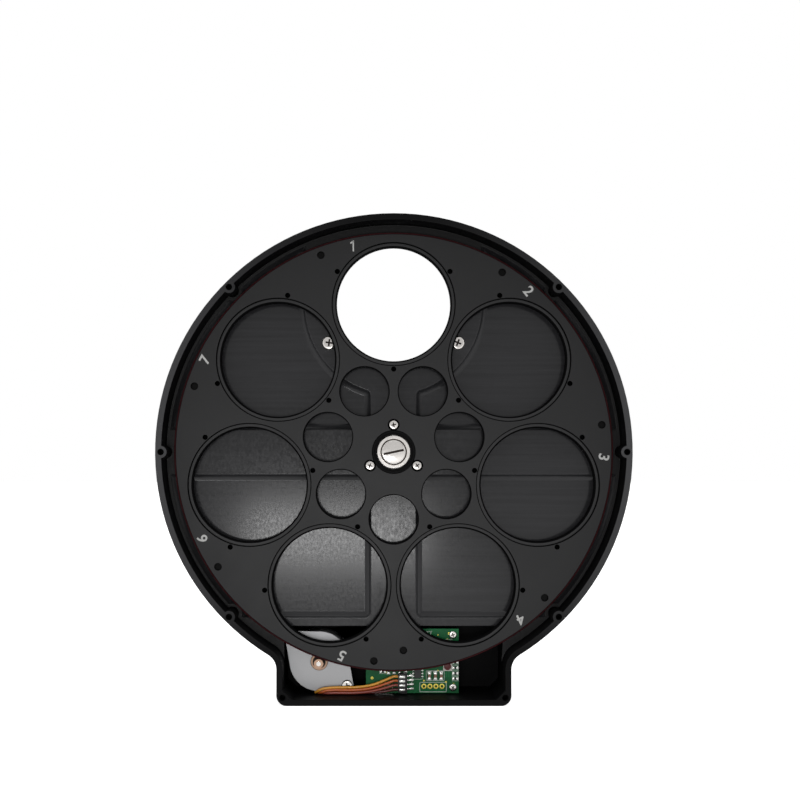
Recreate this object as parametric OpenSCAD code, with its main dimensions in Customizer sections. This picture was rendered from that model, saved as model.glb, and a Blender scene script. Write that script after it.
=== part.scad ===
// Motorised filter wheel for 2 inch astronomical filters, with its cover taken off.
// The wheel is drawn flat: x to the right, y up, z out of the open tray, hub at x = y = 0.
// stand() then sets it upright on the foot of its box, with the open side towards -y.

/* [Filter pockets] */
// How many filters the carousel holds
pockets = 7; // [5:1:7]
// Bore of each filter thread
filter_d = 48.2; // [47:0.1:49]
// Width of the ledge round each filter thread
ledge_w = 1.65; // [1.2:0.05:1.9]
// Depth of the seat above that ledge
seat_depth = 1.2; // [0.6:0.1:2]
// Distance from the hub to the middle of each pocket
pitch_r = 61.7; // [61:0.1:63]
// Diameter of the holes for the filter clip screws
clip_hole_d = 2.2; // [1.6:0.1:2.4]
// Distance from a seat's edge to the middle of each clip screw hole
clip_hole_out = 1.35; // [1.3:0.05:1.8]

/* [Carousel] */
// Thickness of the carousel
carousel_t = 5; // [4.6:0.1:5.6]
// Width of metal between the seats and the carousel's rim
rim_web = 3.5; // [3.5:0.1:5]
// Gap below the carousel, above the tray's lands
carousel_gap = 2.2; // [2.2:0.1:3]
// Distance from the hub to the middle of each round window
window_r = 28.1; // [27.5:0.1:28.5]
// Diameter of each round window
window_d = 20.3; // [16:0.1:21]
// How far the traction band stands out of its groove
band_proud = 0.75; // [0.4:0.05:1]
// Depth of that groove in the rim
groove_depth = 0.8; // [0.5:0.05:1]
// Height of the traction band
band_h = 3; // [2:0.1:3.6]
// Diameter of the position magnets
magnet_d = 2.9; // [2:0.1:3]
// Length of the position magnets
magnet_len = 4; // [2:0.1:4.2]
// Distance from the carousel's rim to the middle of each position magnet
magnet_in = 3.45; // [3:0.05:4]
// Angle of each position magnet from its pocket
magnet_turn = -20.3; // [-25:0.1:-18]
// Distance from the position magnets' circle in to the index magnet
index_in = 4.7; // [4:0.1:6]
// Clockwise angle from pocket 1 to the index magnet
index_turn = 177.2; // [174:0.1:180]

/* [Hub] */
// Bore of the ball bearing
bearing_bore_d = 8; // [7:0.1:8]
// Outer diameter of the ball bearing
bearing_d = 16; // [16:0.1:16.6]
// Width of the ball bearing
bearing_w = 5; // [4.4:0.1:5]
// Diameter of the bearing's balls
ball_d = 2; // [1.6:0.1:2.1]
// Number of balls in the bearing
balls = 9; // [7:1:10]
// Clearance between the balls, their grooves and the cage
ball_clear = 0.04; // [0.03:0.01:0.08]
// Wall of the collar that holds the bearing
collar_w = 0.9; // [0.8:0.05:1]
// Width of the flange below the carousel
flange_w = 5.7; // [5:0.1:7]
// Thickness of that flange
flange_t = 1.5; // [1.2:0.1:1.8]
// Distance from the hub's axis to its three screws
hub_screw_r = 11.35; // [11.35:0.05:12]
// Diameter of the pivot cap
cap_d = 14.1; // [13:0.1:15]
// Diameter of the pivot screw's head
pivot_head_d = 9.4; // [8:0.1:10]

/* [Housing] */
// Height of the tray's rim above its back
tray_h = 17.5; // [16.5:0.5:22]
// Thickness of the tray's floor at its lands
floor_t = 4; // [3.6:0.1:5]
// Thickness of the tray's wall
wall = 2.6; // [2.2:0.1:3.2]
// Gap between the traction band and the tray's wall
rim_gap = 4.2; // [3.6:0.1:6]
// Width of the box below the tray
box_w = 97; // [96:0.5:104]
// Distance from the hub down to the foot of the box
box_drop = 104.8; // [104.8:0.2:110]
// Outer radius of the box's corners
corner_r = 4.3; // [3:0.1:6]
// Radius of the blend between the tray and the box
blend_r = 7; // [4:0.5:10]
// Distance from the hub down to the edge of the motor bay
bay_top = 73.6; // [72.5:0.1:74]
// How far the motor bay stands out behind the tray
bay_back = 16; // [15:0.5:22]
// Thickness of the motor bay's back wall
bay_wall = 2; // [1.6:0.1:3]
// Diameter of the tapped holes for the cover's screws
cover_hole_d = 2.5; // [2:0.1:2.6]
// Depth of those holes
cover_hole_depth = 8; // [5:0.5:10]
// Radius of the bosses round those holes
boss_r = 2.6; // [2.2:0.1:3]
// Distance from the tray's outer edge to the middle of each boss
boss_in = 2.3; // [2:0.1:3]

/* [Tray floor] */
// Depth of the four recessed quadrants
recess_depth = 1.5; // [0.5:0.1:2]
// Width of the hollow bank that a ball-nosed cutter leaves round each quadrant
recess_slope = 2.6; // [1.5:0.1:3.5]
// Width of the upright rib between the quadrants
rib_w = 19.2; // [16:0.1:24]
// Width of the level rib between the quadrants
cross_rib_w = 19; // [16:0.1:24]
// Gap between the quadrants' outer edge and the tray's wall
recess_gap = 1.3; // [0.8:0.1:3]
// Width of the land between the lower quadrants and the motor bay
bay_land = 3.7; // [2:0.1:6]
// Radius of the arched land round the aperture
arch_r = 37.3; // [36:0.1:42]

/* [Aperture] */
// Bore of the telescope thread in the adapter ring
aperture_d = 53.2; // [48.5:0.1:53.4]
// Outer diameter of the adapter ring
adapter_d = 71; // [70:0.5:73]
// Thickness of the adapter ring behind the tray
adapter_t = 6; // [4:0.5:10]
// Height of the lip that centres the ring in the tray
lip_h = 1.5; // [0.5:0.1:3]
// Wall of that lip
lip_w = 0.85; // [0.7:0.05:1]
// Distance from the aperture's axis to the adapter's screws
adapter_screw_r = 31.3; // [31:0.1:31.6]

/* [Motor] */
// Diameter of the motor's can
can_d = 25; // [23:0.1:25.2]
// Length of the motor's can
can_len = 15.3; // [13:0.1:16]
// Diameter of the motor's shaft
shaft_d = 2; // [1.5:0.1:2]
// Diameter of the capstan that drives the band
capstan_d = 4; // [3.8:0.05:4.4]
// Angle of the motor from straight below the hub
motor_turn = 19.5; // [19:0.1:20]
// Direction of the motor's lugs, measured from level
lug_turn = -40.8; // [-42:0.2:-40]
// Distance between the motor's two screws
lug_pitch = 31; // [30.6:0.1:31.2]
// Radius of the motor's lugs
lug_r = 2.7; // [2.4:0.1:2.8]

/* [Electronics] */
// Width of the circuit board
board_w = 39.2; // [38:0.2:44]
// Height of the circuit board
board_h = 27.2; // [26:0.2:27.4]
// Thickness of the circuit board
board_t = 1.6; // [1:0.1:1.8]
// Distance from the hub's axis to the board's left edge
board_left = 11.6; // [11:0.1:12]
// Spacing of the motor plug's contacts
pin_pitch = 1.85; // [1.5:0.05:1.9]
// Outer diameter of the motor's leads
lead_d = 1.1; // [0.8:0.05:1.12]

/* [Hidden] */

$fn = 96;
e = 0.5;            // how far a cutter runs past the face that it cuts
fit = 0.02;         // radial running clearance
step = 360 / pockets;

// Carousel and its band
seat_d = filter_d + 2 * ledge_w;
carousel_r = pitch_r + seat_d / 2 + rim_web;
band_r = carousel_r + band_proud;
groove_r = carousel_r - groove_depth;
carousel_z = floor_t + carousel_gap;
carousel_top = carousel_z + carousel_t;
band_z = carousel_z + (carousel_t - band_h) / 2;
clip_r = seat_d / 2 + clip_hole_out;
magnet_r = carousel_r - magnet_in;
magnet_z = carousel_z + 0.1;

// Hub, from the tray's floor upwards
flange_z = carousel_z - flange_t;
flange_lip_t = 0.9;
bearing_z = flange_z + flange_lip_t;
bearing_top = bearing_z + bearing_w;
shim_t = 0.2;
collar_r = bearing_d / 2 + collar_w;
hub_hole_r = collar_r + 0.05;
flange_r = collar_r + flange_w;
ball_pitch_r = (bearing_bore_d + bearing_d) / 4;
race_gap = 0.75;                      // from the balls' circle to each race
inner_race_r = ball_pitch_r - race_gap;
outer_race_r = ball_pitch_r + race_gap;
post_shoulder_r = inner_race_r - 0.15;
cage_w = 0.8;
cage_h = ball_d + 0.7;
cap_t = 1.2;
cap_boss_t = 0.2;
cap_z = bearing_top + cap_boss_t;
cap_recess_r = pivot_head_d / 2 + 0.75;
cap_recess_z = cap_z + 0.5;
pivot_thread_r = 2;
pivot_head_h = 1.2;
post_foot = 0.8;                      // metal left below the post
hub_head_r = 1.95;
hub_head_h = 1.2;
hub_seat_z = carousel_top - 1.4;

// Housing
tray_in_r = band_r + rim_gap;
tray_r = tray_in_r + wall;
boss_at = tray_r - boss_in;
boss_angles = [0, 45, 135, 180, 225, 315];
box_in_x = box_w / 2 - wall;
box_in_y = box_drop - wall;
bay_floor = bay_wall - bay_back;
gusset = 3.8;
corner_hole_side = 2.5;
corner_hole_up = 3.4;
recess_r = tray_in_r - recess_gap;
boss_land_r = boss_r + 1.45;
depth_mid = (tray_h - bay_back) / 2;

// Aperture
lip_r = aperture_d / 2 + lip_w;
aperture_hole_r = lip_r + 0.05;
adapter_screw_d = 3;
adapter_head_r = 2.9;
adapter_head_h = 1.6;
adapter_angles = [30, 150, 210, 330];

// Motor, on the circle where its capstan meets the band
touch_gap = 0.03;
motor_at = band_r + touch_gap + capstan_d / 2;
motor_x = -motor_at * sin(motor_turn);
motor_y = -motor_at * cos(motor_turn);
plate_t = 0.8;
plate_r = can_d / 2 + 0.1;
plate_z = carousel_z - 2.6;
can_wall = 0.8;
can_z = plate_z - can_len;
rotor_r = 6.2;
rotor_end_gap = 2.2;
bushing_r = 3;
bushing_head_r = 3.65;
bushing_head_h = 1.2;
bushing_len = 1.6;
capstan_gap = 0.5;                    // above the bushing
motor_screw_r = 1.1;
motor_head_r = 2.3;
motor_head_h = 1.3;
motor_screw_len = 4.5;
post_r = 2.6;
exit_w = 5.6;
exit_z = can_z + 3;
exit_h = 4.5;
exit_out = 1.25;                      // how far it stands out of the can
exit_x = motor_x + 0.2;

// Circuit board and its parts
board_z = floor_t - 0.5 - board_t;
board_top = board_z + board_t;
board_foot = 0.3;                     // gap between the board and the box's wall
board_y = -(box_in_y - board_foot);
board_right = board_w - board_left;
board_hole_in = 2.5;
board_screw_at = [[board_right - board_hole_in, board_y + board_h - board_hole_in],
    [board_right - board_hole_in, board_y + board_hole_in],
    [board_hole_in - board_left, board_y + board_h - board_hole_in]];
board_screw_r = 0.9;
board_head_r = 1.6;
board_head_h = 1;
board_screw_len = 4.5;
pins = 4;
plug_mid_y = board_y + 4.6;
plug_x = 13.5 - board_left;
plug_len = 4.6;
plug_h = 2.6;
plug_w = (pins - 1) * pin_pitch + 2;
socket_wall = 0.3;
socket_x = plug_x + 0.9;
socket_len = 5.6;
plug_z = board_top + socket_wall + 0.4;
usb_x = 7.6 - board_left;
usb_w = 7.7;
usb_h = 3.9;
usb_len = 9.2;
usb_wall = 0.4;
header_x = 24.5 - board_left;
header_y = board_y + 2.9;
header_pitch = 2.54;
header_pins = 4;
controller_size = [7, 7, 1.2];
driver_size = [3, 5, 1.1];
sensor_size = [3, 1.8, 1.1];
capacitor_size = [1.2, 2, 0.6];
inductor_size = [2.4, 3.4, 1];
capacitor_gap = 1;                    // between the capacitors of the row

// Height of the leads above the board, and where each one meets the plug
lead_r = lead_d / 2;
lead_z = plug_z + plug_h / 2;
exit_y = motor_y - can_d / 2 - exit_out / 2;
exit_top = exit_z + exit_h;
function pin_y(i) = plug_mid_y + (1.5 - i) * pin_pitch;

// Routes of the four leads, from the motor over its lug to the plug
yellow_route = [[-32.9, exit_y, exit_top], [-32.9, exit_y, 1], [-32.8, -101.3, 4.9],
    [-31.4, -100.2, 6.5], [-29, -99.4, 6.6], [-24, -99, 6.4], [-16, -98.9, 6.4],
    [-9, -98, 6], [-3, -95.8, lead_z], [0, pin_y(0), lead_z], [plug_x, pin_y(0), lead_z]];
orange_route = [[-31.7, exit_y, exit_top], [-31.7, exit_y, 1], [-31.6, -101.5, 4.6],
    [-30.2, -101, 6.2], [-28, -100.3, 6.5], [-24, -100.1, 6.4], [-16, -100.1, 6.4],
    [-9, -99.3, 6], [-3, -97.5, lead_z], [0, pin_y(1), lead_z], [plug_x, pin_y(1), lead_z]];
red_route = [[-30.5, exit_y, exit_top], [-30.5, exit_y, 1], [-30.4, -101.55, 4],
    [-29, -101.5, 5.7], [-27, -101.4, 6.3], [-24, -101.3, 6.35], [-16, -101.3, 6.35],
    [-9, -100.6, 6], [-3, -99.2, lead_z], [0, pin_y(2), lead_z], [plug_x, pin_y(2), lead_z]];
maroon_route = [[-29.3, exit_y, exit_top], [-29.3, exit_y, 0], [-29.2, -101.55, 3],
    [-27.8, -101.55, 4.7], [-26, -101.55, 5.1], [-22, -101.55, 5.1], [-16, -101.55, 5.1],
    [-9, -101.4, 4.8], [-3, -100.8, 5.1], [0, pin_y(3), lead_z], [plug_x, pin_y(3), lead_z]];

// Sets the flat drawing upright on its foot
module stand() {
    translate([0, depth_mid, box_drop]) rotate([90, 0, 0]) children();
}

// A cylinder between two heights, solid or with a hole
module disc(r, z0, z1) {
    translate([0, 0, z0]) cylinder(r = r, h = z1 - z0);
}

module ring(r_out, r_in, z0, z1) {
    difference() {
        disc(r_out, z0, z1);
        disc(r_in, z0 - e, z1 + e);
    }
}

// Puts a copy at each pocket's angle, turned clockwise with it
module each_pocket(r, turn = 0) {
    for (k = [0 : pockets - 1]) rotate(-k * step - turn) translate([0, r, 0]) children();
}

// ---- Housing ----

// The web between a circle of radius r and an upright at x, below the middle. Its round
// side runs a hair into the circle, so that the two cross instead of only touching.
module blend_web(r, x, f) {
    hair = 0.01;
    reach = r + f - hair;
    c = [x + f, -sqrt(reach * reach - (x + f) * (x + f))];
    inner = c * (r - 1) / reach;
    difference() {
        polygon([[x - 1, c.y], c, inner, [x - 1, inner.y]]);
        translate(c) circle(f);
    }
}

// A rectangle whose lower corners are round
module foot_box(half_w, bottom, top, r) {
    translate([-half_w, bottom + r]) square([2 * half_w, top - bottom - r]);
    translate([-half_w + r, bottom]) square([2 * (half_w - r), r + e]);
    for (s = [-1, 1]) translate([s * (half_w - r), bottom + r]) circle(r);
}

// The tray and the box in plan, moved in from the outside by inset
module plan(inset) {
    circle(tray_r - inset);
    foot_box(box_w / 2 - inset, inset - box_drop, -bay_top, max(corner_r - inset, 0.5));
    for (s = [0, 1]) mirror([s, 0])
        blend_web(tray_r - inset, box_w / 2 - inset, blend_r + inset);
}

module gussets() {
    for (s = [-1, 1]) polygon([[s * (box_in_x + e), -box_in_y - e],
        [s * (box_in_x - gusset), -box_in_y - e], [s * (box_in_x - gusset), -box_in_y],
        [s * box_in_x, gusset - box_in_y], [s * (box_in_x + e), gusset - box_in_y]]);
}

module bosses(r) {
    for (a = boss_angles) rotate(a) translate([boss_at, 0]) circle(r);
}

module corner_spots() {
    for (s = [-1, 1])
        translate([s * (box_w / 2 - corner_hole_side), corner_hole_up - box_drop]) children();
}

// Banks of the recesses, as the cutter's round nose leaves them: how far the bank has
// drawn back at a height above the recess's floor
nose_r = (recess_slope * recess_slope + recess_depth * recess_depth) / (2 * recess_depth);
bank_steps = 4;
function bank(z) = sqrt(nose_r * nose_r - (nose_r - z) * (nose_r - z));
bank_curve = [for (i = [0 : bank_steps]) let (z = recess_depth * pow(i / bank_steps, 2))
    [bank(z), z]];
bank_top = [recess_slope + e * (nose_r - recess_depth) / recess_slope, recess_depth + e];
bank_points = concat(bank_curve, [bank_top]);

// A rib of the floor, w wide on top, with a bank on both sides
module banked_bar(w, from, to) {
    half = w / 2 + recess_slope;
    left = [for (p = bank_points) [p.x - half, p.y]];
    right = [for (i = [bank_steps + 1 : -1 : 0]) [half - bank_points[i].x, bank_points[i].y]];
    rotate([90, 0, 0]) translate([0, 0, -to]) linear_extrude(to - from)
        polygon(concat(left, right));
}

// A round land with radius r on top and a bank round it
module banked_disc(r) {
    rotate_extrude() polygon(concat([[0, recess_depth + e], [0, 0]],
        [for (p = bank_points) [r + recess_slope - p.x, p.y]]));
}

// A corner of a recess, rounded in facets as the cutter turns at its floor point from
// facing one bank to facing the next
facets = 4;
module rounded_corner(at, from, to) {
    for (i = [1 : facets - 1]) translate(at) rotate(from + (to - from) * i / facets)
        translate([1 + recess_slope, 0, 0]) banked_bar(2, -3, 3);
}

module recess_corners() {
    x = rib_w / 2 + recess_slope;
    y = cross_rib_w / 2 + recess_slope;
    arch = arch_r + recess_slope;
    rounded_corner([x, y, 0], 180, 270);
    rounded_corner([x, -y, 0], 180, 90);
    rounded_corner([x, bay_land + recess_slope - bay_top, 0], 180, 270);
    rounded_corner([x, pitch_r - sqrt(arch * arch - x * x), 0], 180, 90 + asin(x / arch));
}

module recesses() {
    translate([0, 0, floor_t - recess_depth]) difference() {
        rotate_extrude() polygon(concat([[0, recess_depth + e], [0, 0]],
            [for (p = bank_points) [recess_r - recess_slope + p.x, p.y]]));
        banked_bar(rib_w, -tray_r, tray_r);
        rotate(90) banked_bar(cross_rib_w, -tray_r, tray_r);
        translate([0, -bay_top - tray_r / 2, 0]) rotate(90)
            banked_bar(tray_r + 2 * bay_land, -tray_r, tray_r);
        translate([0, pitch_r, 0]) banked_disc(arch_r);
        banked_bar(2 * arch_r, pitch_r, tray_r);
        for (a = boss_angles) rotate(a) translate([boss_at, 0, 0]) banked_disc(boss_land_r);
        recess_corners();
        mirror([1, 0, 0]) recess_corners();
    }
}

// Spots on the motor's lugs, and on the posts that carry them
module lug_spots() {
    for (s = [-1, 1]) translate([motor_x, motor_y, 0]) rotate(lug_turn)
        translate([s * lug_pitch / 2, 0, 0]) children();
}

// Posts in the motor bay, each joined to the wall beside it
module motor_posts() {
    far = [motor_x - cos(lug_turn) * lug_pitch / 2, motor_y - sin(lug_turn) * lug_pitch / 2];
    near = [motor_x + cos(lug_turn) * lug_pitch / 2, motor_y + sin(lug_turn) * lug_pitch / 2];
    linear_extrude(plate_z - bay_floor) {
        translate(far) circle(post_r);
        translate(near) circle(post_r);
        translate([-box_in_x - e, far.y]) square([far.x + box_in_x + e, post_r]);
        translate([near.x, -box_in_y - e]) square([post_r, near.y + box_in_y + e]);
    }
}

module housing() {
    color([0.16, 0.16, 0.17]) stand() difference() {
        union() {
            difference() {
                union() {
                    linear_extrude(tray_h) plan(0);
                    translate([0, 0, -bay_back]) linear_extrude(bay_back + e)
                        foot_box(box_w / 2, -box_drop, wall - bay_top, corner_r);
                }
                translate([0, 0, floor_t]) linear_extrude(tray_h) difference() {
                    plan(wall);
                    bosses(boss_r);
                    gussets();
                }
                translate([0, 0, bay_floor]) linear_extrude(tray_h + bay_back) difference() {
                    foot_box(box_in_x, -box_in_y, -bay_top, 1);
                    gussets();
                }
                recesses();
            }
            translate([0, 0, bay_floor]) {
                motor_posts();
                for (p = board_screw_at) translate(p) cylinder(r = 2.2, h = board_z - bay_floor);
            }
        }
        translate([0, pitch_r, -e]) cylinder(r = aperture_hole_r, h = floor_t + 2 * e);
        translate([0, pitch_r, -e]) for (a = adapter_angles) rotate(a)
            translate([adapter_screw_r, 0, 0])
                cylinder(d = adapter_screw_d + 0.4, h = floor_t + 2 * e);
        disc(bearing_bore_d / 2, post_foot, floor_t + e);
        translate([0, 0, tray_h - cover_hole_depth]) {
            for (a = boss_angles) rotate(a) translate([boss_at, 0, 0])
                cylinder(d = cover_hole_d, h = cover_hole_depth + e);
            corner_spots() cylinder(d = cover_hole_d, h = cover_hole_depth + e);
        }
        lug_spots() disc(motor_screw_r, plate_z - motor_screw_len - 0.5, plate_z + e);
        for (p = board_screw_at) translate(p)
            disc(board_screw_r, board_z - board_screw_len - 0.5, board_z + e);
        translate([usb_x - usb_w / 2 - 0.5, -box_drop - e, board_z - usb_h - 0.5])
            cube([usb_w + 1, wall + 2 * e, usb_h + 1]);
    }
}

// ---- Aperture ----

module aperture_ring() {
    color([0.1, 0.1, 0.11]) stand() translate([0, pitch_r, 0]) difference() {
        union() {
            disc(adapter_d / 2, -adapter_t, 0);
            disc(lip_r, -e, lip_h);
        }
        disc(aperture_d / 2, -adapter_t - e, lip_h + e);
        for (a = adapter_angles) rotate(a) translate([adapter_screw_r, 0, 0])
            disc(adapter_screw_d / 2, -adapter_t + 1, e);
    }
}

module aperture_screws() {
    color([0.8, 0.8, 0.82]) stand() translate([0, pitch_r, 0])
        for (a = adapter_angles) rotate(a) translate([adapter_screw_r, 0, 0]) {
            disc(adapter_head_r, floor_t, floor_t + adapter_head_h);
            disc(adapter_screw_d / 2, -adapter_t + 1.5, floor_t + e);
        }
}

// ---- Carousel ----

module carousel() {
    color([0.24, 0.24, 0.25]) stand() difference() {
        disc(carousel_r, carousel_z, carousel_top);
        ring(carousel_r + e, groove_r, band_z, band_z + band_h);
        each_pocket(pitch_r) {
            disc(filter_d / 2, carousel_z - e, carousel_top + e);
            disc(seat_d / 2, carousel_top - seat_depth, carousel_top + e);
            for (a = [30, 150, 270]) rotate(a) translate([clip_r, 0, 0])
                disc(clip_hole_d / 2, carousel_z - e, carousel_top + e);
        }
        each_pocket(window_r, step / 2) disc(window_d / 2, carousel_z - e, carousel_top + e);
        each_pocket(magnet_r, magnet_turn) disc(magnet_d / 2, carousel_z - e, carousel_top + e);
        rotate(-index_turn) translate([0, magnet_r - index_in, 0])
            disc(magnet_d / 2, carousel_z - e, carousel_top + e);
        disc(hub_hole_r, carousel_z - e, carousel_top + e);
        for (a = [90, 210, 330]) rotate(a) translate([hub_screw_r, 0, 0]) {
            disc(1.1, carousel_z - e, carousel_top);
            disc(hub_head_r + 0.45, hub_seat_z, carousel_top + e);
        }
    }
}

module traction_band() {
    color([0.55, 0.08, 0.1]) stand() ring(band_r, groove_r, band_z, band_z + band_h);
}

module position_magnets() {
    color([0.6, 0.6, 0.62]) stand()
        each_pocket(magnet_r, magnet_turn) disc(magnet_d / 2 - fit, magnet_z, magnet_z + magnet_len);
}

module index_magnet() {
    color([0.6, 0.6, 0.62]) stand() rotate(-index_turn) translate([0, magnet_r - index_in, 0])
        disc(magnet_d / 2 - fit, magnet_z, magnet_z + magnet_len);
}

// ---- Hub and bearing ----

module hub_flange() {
    color([0.1, 0.1, 0.11]) stand() difference() {
        union() {
            disc(flange_r, flange_z, carousel_z);
            disc(collar_r, flange_z, carousel_top - 0.1);
        }
        disc(bearing_d / 2, bearing_z, carousel_top + e);
        disc(outer_race_r + 0.1, flange_z - e, bearing_z + e);
        for (a = [90, 210, 330]) rotate(a) translate([hub_screw_r, 0, 0])
            disc(1, flange_z - e, carousel_z + e);
    }
}

module hub_screws() {
    color([0.85, 0.85, 0.87]) stand() for (a = [90, 210, 330]) rotate(a)
        translate([hub_screw_r, 0, 0]) difference() {
            union() {
                disc(hub_head_r, hub_seat_z, hub_seat_z + hub_head_h);
                disc(1, flange_z, hub_seat_z + e);
            }
            for (q = [0, 90]) rotate(q) translate([-1.1, -0.2, hub_seat_z + hub_head_h - 0.6])
                cube([2.2, 0.4, 1]);
        }
}

module pivot_post() {
    color([0.7, 0.7, 0.72]) stand() difference() {
        union() {
            disc(bearing_bore_d / 2, post_foot, floor_t);
            disc(post_shoulder_r, floor_t, bearing_z - shim_t);
            disc(bearing_bore_d / 2 - fit, floor_t, bearing_top - 0.2);
        }
        disc(pivot_thread_r, post_foot + 1, bearing_top);
    }
}

module pivot_shim() {
    color([0.75, 0.75, 0.77]) stand()
        ring(post_shoulder_r, bearing_bore_d / 2 + 0.05, bearing_z - shim_t, bearing_z);
}

// The grooves of both races, as one ring of round section
module ball_groove() {
    translate([0, 0, bearing_z + bearing_w / 2])
        rotate_extrude() translate([ball_pitch_r, 0]) circle(ball_d / 2 + ball_clear, $fn = 48);
}

module bearing_inner_race() {
    color([0.8, 0.8, 0.82]) stand() difference() {
        ring(inner_race_r, bearing_bore_d / 2, bearing_z, bearing_top);
        ball_groove();
    }
}

module bearing_outer_race() {
    color([0.8, 0.8, 0.82]) stand() difference() {
        ring(bearing_d / 2, outer_race_r, bearing_z, bearing_top);
        ball_groove();
    }
}

module at_balls() {
    for (i = [0 : balls - 1]) rotate(i * 360 / balls)
        translate([ball_pitch_r, 0, bearing_z + bearing_w / 2]) children();
}

module bearing_cage() {
    color([0.75, 0.62, 0.35]) stand() difference() {
        ring(ball_pitch_r + cage_w / 2, ball_pitch_r - cage_w / 2,
            bearing_z + (bearing_w - cage_h) / 2, bearing_z + (bearing_w + cage_h) / 2);
        at_balls() rotate([0, 90, 0])
            cylinder(r = ball_d / 2 + ball_clear, h = 2 * cage_w, center = true);
    }
}

module bearing_balls() {
    color([0.85, 0.85, 0.87]) stand() at_balls() sphere(ball_d / 2, $fn = 32);
}

module pivot_cap() {
    color([0.85, 0.85, 0.86]) stand() difference() {
        union() {
            disc(post_shoulder_r, bearing_top, cap_z);
            disc(cap_d / 2, cap_z, cap_z + cap_t);
        }
        disc(cap_recess_r, cap_recess_z, cap_z + cap_t + e);
        disc(pivot_thread_r + 0.15, bearing_top - e, cap_z + cap_t);
    }
}

module pivot_screw() {
    color([0.85, 0.85, 0.86]) stand() difference() {
        union() {
            disc(pivot_head_d / 2, cap_recess_z, cap_recess_z + pivot_head_h);
            disc(pivot_thread_r, post_foot + 1.5, cap_recess_z + e);
        }
        rotate(12) translate([-pivot_head_d, -0.4, cap_recess_z + pivot_head_h - 0.6])
            cube([2 * pivot_head_d, 0.8, 1]);
    }
}

// ---- Motor ----

module at_motor() {
    stand() translate([motor_x, motor_y, 0]) children();
}

module motor_can() {
    color([0.6, 0.62, 0.66]) at_motor() difference() {
        disc(can_d / 2, can_z, plate_z);
        disc(can_d / 2 - can_wall, can_z + can_wall, plate_z + e);
    }
}

// The motor's flange: a disc and two lugs, with straight sides just inside their tangents
module flange_body() {
    inside = 0.02;
    tilt = acos((plate_r - lug_r) / (lug_pitch / 2));
    corner = [cos(tilt), sin(tilt)];
    tip = [lug_pitch / 2, 0];
    big = (plate_r - inside) * corner;
    small = (lug_r - inside) * corner;
    cylinder(r = plate_r, h = plate_t);
    for (s = [-1, 1]) translate(s * tip) cylinder(r = lug_r, h = plate_t);
    linear_extrude(plate_t) polygon([-tip - small, -big, [big.x, -big.y], tip + [small.x, -small.y],
        tip + small, big, [-big.x, big.y], [-small.x, small.y] - tip]);
}

module motor_plate() {
    color([0.62, 0.64, 0.69]) stand() difference() {
        translate([motor_x, motor_y, plate_z]) rotate(lug_turn) flange_body();
        translate([motor_x, motor_y, 0]) disc(bushing_r, plate_z - e, plate_z + plate_t + e);
        lug_spots() disc(motor_screw_r + 0.1, plate_z - e, plate_z + plate_t + e);
    }
}

module motor_coils() {
    inner = can_z + can_wall;
    gap = 0.8;
    coil_h = (plate_z - inner - gap) / 2;
    color([0.6, 0.35, 0.2]) at_motor() {
        ring(can_d / 2 - can_wall, rotor_r + 0.4, inner, inner + coil_h);
        ring(can_d / 2 - can_wall, rotor_r + 0.4, inner + coil_h + gap, plate_z);
    }
}

module motor_bushings() {
    color([0.72, 0.5, 0.35]) at_motor() {
        difference() {
            union() {
                disc(bushing_r, plate_z - 1, plate_z + plate_t);
                disc(bushing_head_r, plate_z + plate_t, plate_z + plate_t + bushing_head_h);
            }
            disc(shaft_d / 2 + fit, plate_z - 1 - e, plate_z + plate_t + bushing_head_h + e);
        }
        ring(bushing_r, shaft_d / 2 + fit, can_z + can_wall, can_z + can_wall + bushing_len);
    }
}

module motor_screws() {
    color([0.75, 0.75, 0.78]) stand() lug_spots() {
        disc(motor_head_r, plate_z + plate_t, plate_z + plate_t + motor_head_h);
        disc(motor_screw_r, plate_z - motor_screw_len, plate_z + plate_t + e);
    }
}

module motor_lead_exit() {
    color([0.92, 0.92, 0.9]) stand() difference() {
        translate([exit_x - exit_w / 2, motor_y - can_d / 2 - exit_out, exit_z])
            cube([exit_w, exit_out + 1.2, exit_h]);
        translate([motor_x, motor_y, 0]) disc(can_d / 2, can_z - e, plate_z);
    }
}

module motor_shaft() {
    color([0.88, 0.88, 0.9]) at_motor()
        disc(shaft_d / 2, can_z + can_wall + 0.1, carousel_top + 0.3);
}

module motor_rotor() {
    color([0.25, 0.25, 0.26]) at_motor() ring(rotor_r, shaft_d / 2,
        can_z + can_wall + rotor_end_gap, plate_z - rotor_end_gap);
}

module capstan() {
    color([0.8, 0.8, 0.82]) at_motor() ring(capstan_d / 2, shaft_d / 2,
        plate_z + plate_t + bushing_head_h + capstan_gap, carousel_top);
}

// ---- Electronics ----

module circuit_board() {
    color([0.05, 0.5, 0.33]) stand() difference() {
        translate([-board_left, board_y, board_z]) cube([board_w, board_h, board_t]);
        for (p = board_screw_at) translate(p) disc(board_screw_r + 0.1, board_z - e, board_top + e);
        for (i = [0 : header_pins - 1]) translate([header_x + i * header_pitch, header_y, 0])
            disc(0.5, board_z - e, board_top + e);
    }
}

module board_screws() {
    color([0.85, 0.85, 0.87]) stand() for (p = board_screw_at) translate(p) {
        disc(board_head_r, board_top, board_top + board_head_h);
        disc(board_screw_r, board_z - board_screw_len, board_top + e);
    }
}

module motor_socket() {
    w = plug_w + 2 * socket_wall + 0.2;
    h = plug_z + plug_h + 0.1 - board_top;
    color([0.93, 0.92, 0.88]) stand() difference() {
        translate([socket_x, plug_mid_y - w / 2, board_top]) cube([socket_len, w, h]);
        translate([socket_x - e, plug_mid_y - plug_w / 2 - 0.1, plug_z - 0.1])
            cube([plug_len - 0.8 + e, plug_w + 0.2, plug_h + e]);
    }
}

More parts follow.
